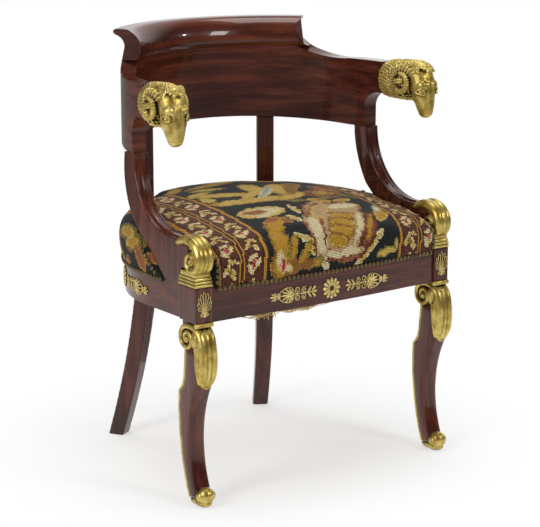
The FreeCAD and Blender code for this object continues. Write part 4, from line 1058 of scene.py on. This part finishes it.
bpy.context.view_layer.update()
behind_support = [(-100, 410), (-80, 430), (-58, 450), (-38, 470), (-22, 492)]
beside_scroll = [(-300, 412), (-300, 474)]
outside_x, scroll_x = 400, 246
for side, name in sides:
    for y, z in along(behind_support):
        nail_row["nails_" + name] += on_cover((side * outside_x, y, z), (-side, 0, 0))
    for y, z in along(beside_scroll):
        nail_row["nails_front"] += on_cover((side * scroll_x, y, z), (0, 1, 0))
bpy.ops.object.select_all(action="DESELECT")
bpy.ops.mesh.primitive_uv_sphere_add(segments=10, ring_count=6, radius=nail_radius * MM)
nail_head = bpy.context.object
bpy.ops.object.mode_set(mode="EDIT")
bpy.ops.mesh.select_all(action="SELECT")
bpy.ops.mesh.bisect(plane_co=(0, 0, -0.3 * MM), plane_no=(0, 0, 1), clear_inner=True, use_fill=True)
bpy.ops.mesh.select_all(action="SELECT")
bpy.ops.transform.resize(value=(1, 1, nail_height))
bpy.ops.object.mode_set(mode="OBJECT")
bpy.ops.object.shade_smooth()
for name, row in nail_row.items():
    heads = []
    for point, way in row:
        head = twin(nail_head)
        head.location = point * MM
        head.rotation_euler = way.to_track_quat("Z", "Y").to_euler()
        heads.append(head)
    hold(*heads)
    bpy.ops.object.join()
    row_piece = bpy.context.object
    bpy.ops.object.transform_apply(location=True, rotation=True, scale=True)
    stand(row_piece, "close_" + name, nail_brass, "nail_brass", name)
bpy.data.objects.remove(nail_head)


# Gilt bronze mounts: cast and chased openwork, pinned flat to the rails and posts. A spray is a palm,
# a fan of leaves, a pair of scrolls and a flower in line. Rosettes have a ring of petals.
ormolu = gilding("ormolu", colour(244, 222, 150), colour(214, 180, 98), colour(78, 54, 20), 0.22, 0.2)
wire_steps = 24


def leaf(u, v, length, width, turn, thick=1.5):
    """A leaf from a root point, pointing to a turn from the right, flat on the wood."""
    angle = math.radians(turn)
    middle = (u + math.cos(angle) * length / 2, -1.0, v + math.sin(angle) * length / 2)
    bpy.ops.object.select_all(action="DESELECT")
    bpy.ops.mesh.primitive_uv_sphere_add(segments=10, ring_count=8, radius=MM, location=Vector(middle) * MM,
                                         rotation=(0, -angle, 0), scale=(length / 2, thick, width / 2))
    return bpy.context.object


def wire_scroll(u, v, radius, start_turn, turns, thick=1.1):
    """A scroll of bronze wire that winds in to its eye."""
    points = []
    for step in range(wire_steps + 1):
        share = step / wire_steps
        angle = math.radians(start_turn + 360 * turns * share)
        reach = radius * (1 - 0.72 * share)
        points.append((u + reach * math.cos(angle), -1.0, v + reach * math.sin(angle)))
    thinning = [thick * (1 - 0.2 * step / wire_steps) for step in range(wire_steps)]
    return rope(points, thinning + [thick * 1.5])


def cast(pieces):
    """Joins the parts of a mount, smooth all over."""
    hold(*pieces)
    bpy.ops.object.join()
    mount = bpy.context.object
    bpy.ops.object.transform_apply(location=True, rotation=True, scale=True)
    bpy.ops.object.shade_smooth()
    return mount


def pin_on(mount, name, node, centre, radius, angle, facing, flip, height):
    """Bends a flat mount round an upright axis, and pins it there at an angle and height."""
    for vertex in mount.data.vertices:
        turn = angle + flip * vertex.co.x / (radius * MM)
        reach = radius * MM - vertex.co.y
        vertex.co = (centre[0] * MM + reach * math.sin(turn),
                     centre[1] * MM + facing * reach * math.cos(turn), height * MM + vertex.co.z)
    if flip * facing > 0:
        hold(mount)
        bpy.ops.object.mode_set(mode="EDIT")
        bpy.ops.mesh.select_all(action="SELECT")
        bpy.ops.mesh.flip_normals()
        bpy.ops.object.mode_set(mode="OBJECT")
    stand(mount, name, ormolu, "ormolu", node)


spray_parts = [rope([(-50, -0.8, 0), (48, -0.8, 0)], [1.3, 1.0])]
for turn, length in ((0, 15), (32, 13), (-32, 13), (62, 10), (-62, 10)):
    spray_parts.append(leaf(37, 0, length, 3.4, turn))
    spray_parts.append(leaf(29, 0, length * 0.7, 2.8, turn * 1.1))
for turn, length in ((0, 24), (20, 23), (-20, 23), (42, 19), (-42, 19), (66, 15), (-66, 15), (92, 12),
                     (-92, 12)):
    spray_parts.append(leaf(4, 0, length, 4.0, turn, 1.8))
for side in (-1, 1):
    hoop = rounded([(0, -0.8, side * 2), (0, -0.8, side * 13.5), (16, -0.8, side * 14), (30, -0.8, side * 7),
                    (33, -0.8, side * 1)], 8)
    spray_parts.append(rope(hoop, [1.0] * len(hoop)))
    spray_parts.append(wire_scroll(-9, side * 6.6, 6.4, -side * 90, side * 1.4))
    spray_parts.append(wire_scroll(-23, side * 5.6, 5.4, 180 - side * 60, -side * 1.4))
    spray_parts.append(leaf(-32, side * 1, 12, 3.6, 180 - side * 52))
    spray_parts.append(leaf(-40, side * 2, 11, 4.2, 180 - side * 38))
    spray_parts.append(leaf(-46, side * 5, 6, 5, 180 - side * 80))
spray_parts.append(leaf(-42, 0, 11, 4.6, 180))
for bead_u, bead in ((2, 3.0), (34, 2.4), (-32, 2.6), (-16, 2.0)):
    spray_parts.append(lump((bead_u, -1.4, 0), (bead, 1.8, bead)))
spray = cast(spray_parts)

rosette_parts, petal_count, petal_root = [], 12, 9
for step in range(petal_count):
    turn = math.radians(360 * step / petal_count)
    rosette_parts.append(leaf(petal_root * math.cos(turn), petal_root * math.sin(turn), 11.5, 7.0,
                              360 * step / petal_count, 2.2))
for ring_radius, thick in ((9.4, 1.7), (6.4, 1.3)):
    turns = [2 * math.pi * step / wire_steps for step in range(wire_steps + 1)]
    ring = [(ring_radius * math.cos(turn), -1.6, ring_radius * math.sin(turn)) for turn in turns]
    rosette_parts.append(rope(ring, [thick] * len(ring)))
rosette = cast(rosette_parts)

palmette_parts = [leaf(0, -22, 7, 6, 90, 1.8), lump((0, -1.6, -13), (2.8, 2.0, 3.4))]
palmette_tips = [(0, 24.5, 3.0), (7, 21.5, 2.9), (11.8, 14.5, 2.8), (14, 5.5, 2.6), (13.4, -3.5, 2.2)]
for tip_u, tip_v, bulge in palmette_tips:
    for side in ((-1, 1) if tip_u else (1,)):
        tip = Vector((side * tip_u, tip_v))
        root = Vector((side * tip_u * 0.14, -13))
        across = (tip - root).orthogonal().normalized() * bulge
        half_way, shoulder = root.lerp(tip, 0.5), root.lerp(tip, 0.84)
        loop = [root, half_way + across * 0.55, shoulder + across, tip + (tip - root) * 0.04,
                shoulder - across, half_way - across * 0.55, root]
        loop = rounded([(point.x, -1.0, point.y) for point in loop], 5)
        palmette_parts.append(rope(loop, [0.7] * len(loop)))
for side in (-1, 1):
    palmette_parts.append(wire_scroll(side * 5.6, -16, 3.6, 90, side * 1.3, 1.1))
palmette = cast(palmette_parts)

mount_z, palmette_z, side_reach = 368, 373, 284.2
rail_front, rail_bow, pin_gap = -241, 2320.3, 0.1
bow_middle, bow_reach = (0, rail_front + rail_bow), rail_bow + pin_gap
spray_turn = 85 / 2320
post_front, post_axis = -231.1, 1000
pin_on(twin(rosette), "rosette_front", "front_rosette", bow_middle, bow_reach, 0, -1, 1, mount_z)
for side, name in sides:
    pin_on(twin(spray), "spray_front_" + name, "front_spray_" + name, bow_middle, bow_reach,
           side * spray_turn, -1, side, mount_z)
    pin_on(twin(palmette), "palmette_" + name, "post_palmette_" + name, (side * arm_x, post_axis),
           post_axis - post_front, 0, -1, 1, palmette_z)
    for mount, piece_name, node_name, turn, flip in (
            (spray, "spray_side_front_", "side_spray_front_", 80, side),
            (rosette, "rosette_side_", "side_rosette_", 63.5, 1),
            (spray, "spray_side_rear_", "side_spray_rear_", 47, -side)):
        pin_on(twin(mount), piece_name + name, node_name + name, tub, side_reach,
               side * math.radians(turn), 1, flip, mount_z)
for pattern in (spray, rosette, palmette):
    bpy.data.objects.remove(pattern)


# Hidden and under pieces: dowels and glue blocks of raw beech, plain steel screws, and jute webbing
# tacked across the rails with a jute canvas over it.
def plain_finish(name, light, dark, scale, rough, metal=0.0, weave=0.0):
    """A dull surface of two mingled tones, with a square weave if wanted, in millimetres."""
    material, start = finish(name)
    place = start.node("TexCoord", out=3)
    grain = start.noise(start.node("Mapping", {}, {"Vector": place, "Scale": scale}), 1.0, 4.0)
    height = grain
    if weave:
        x, y, z = start.axes(place)
        thread = 2 * math.pi / (weave * MM)
        height = start.maths("SINE", x * thread) * start.maths("SINE", y * thread) * 0.5 + 0.5
    # With a weave the tone follows the weave's height, so the dips between threads are painted darker as
    # painted shade.
    tone = grain * 0.6 + height * 0.4
    bump = start.node("Bump", {}, {"Strength": 0.4, "Distance": 0.0006, "Height": height})
    skin = start.node("BsdfPrincipled", {}, {"Base Color": start.mix(tone, dark, light), "Metallic": metal,
                                             "Roughness": rough + grain * 0.1, "Normal": bump})
    output(start, skin)
    return material


beech = plain_finish("beech", colour(196, 156, 112), colour(152, 112, 74), (300, 300, 30), 0.55)
screw_steel = plain_finish("screw_steel", colour(160, 158, 154), colour(106, 104, 100), (900, 900, 60), 0.32,
                           1.0)
jute = plain_finish("jute", colour(186, 158, 112), colour(122, 98, 64), (500, 500, 500), 0.85, 0.0, 3.0)
webbing = plain_finish("webbing", colour(178, 150, 110), colour(118, 92, 60), (60, 600, 200), 0.85, 0.0, 2.0)
polish({"crest_dowels": beech, "arm_dowels": beech, "scroll_dowels": beech, "ram_head_dowels": beech,
        "corner_blocks": beech, "corner_block_screws": screw_steel, "seat_webbing": webbing,
        "seat_canvas": jute})


# Lining: a sheet of jute tacked under the rails, that sags a little, with its front edge frayed and
# hanging down in threads on the left.
lining_half, lining_front, lining_z, lining_sag = 275, -231, 340.3, 5
straight_rows, round_rows, columns, last_turn = 14, 30, 56, math.radians(88)
bpy.ops.object.select_all(action="DESELECT")
bpy.ops.mesh.primitive_grid_add(x_subdivisions=columns, y_subdivisions=straight_rows + round_rows, size=2)
lining = bpy.context.object
for vertex in lining.data.vertices:
    across = vertex.co.x
    row = (vertex.co.y + 1) / 2 * (straight_rows + round_rows)
    if row <= straight_rows:
        y = lining_front + (tub.y - lining_front) * row / straight_rows
        half = lining_half
    else:
        angle = last_turn * (row - straight_rows) / round_rows
        y = tub.y + lining_half * math.sin(angle)
        half = lining_half * math.cos(angle)
    dip = lining_sag * (1 - across ** 2) * math.sin(math.pi * row / (straight_rows + round_rows))
    vertex.co = Vector((across * half, y, lining_z - dip)) * MM
hold(lining)
bpy.ops.object.shade_smooth()
stand(lining, "jute_lining", jute, "jute_canvas", "seat_lining")
straw = plain_finish("straw", colour(226, 196, 128), colour(160, 128, 74), (500, 500, 500), 0.8)


def rail_face(x):
    """How far forwards the front rail stands near its lower edge."""
    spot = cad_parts["front_rail"].ray_cast(Vector((x, -400, 344)) * MM, Vector((0, 1, 0)))[1]
    return spot.y / MM


threads = []
for strand in range(26):
    first = rng.uniform(-195, -60)
    last = first + rng.uniform(18, 62)
    low = rng.uniform(1, 7)
    y = rail_face(first) + rng.uniform(0, 7)
    line = rounded([(first, y, lining_z),
                    (first * 0.7 + last * 0.3, y + rng.uniform(-3, 1), lining_z - low),
                    (first * 0.3 + last * 0.7, y + rng.uniform(-3, 1),
                     lining_z - low * rng.uniform(0.5, 1.2)),
                    (last, y, lining_z)], 6)
    threads.append(rope(line, [rng.uniform(0.5, 0.9)] * len(line)))
for strand in range(9):
    x = rng.uniform(-168, -120)
    y = rail_face(x) + 4
    line = rounded([(x, y, lining_z), (x + rng.uniform(-4, 4), y - 2, lining_z - 5),
                    (x + rng.uniform(-10, 6), y - 2, lining_z - rng.uniform(7, 13))], 6)
    threads.append(rope(line, [0.7] * len(line)))
fray = cast(threads)
stand(fray, "lining_fray", straw, "jute_canvas")
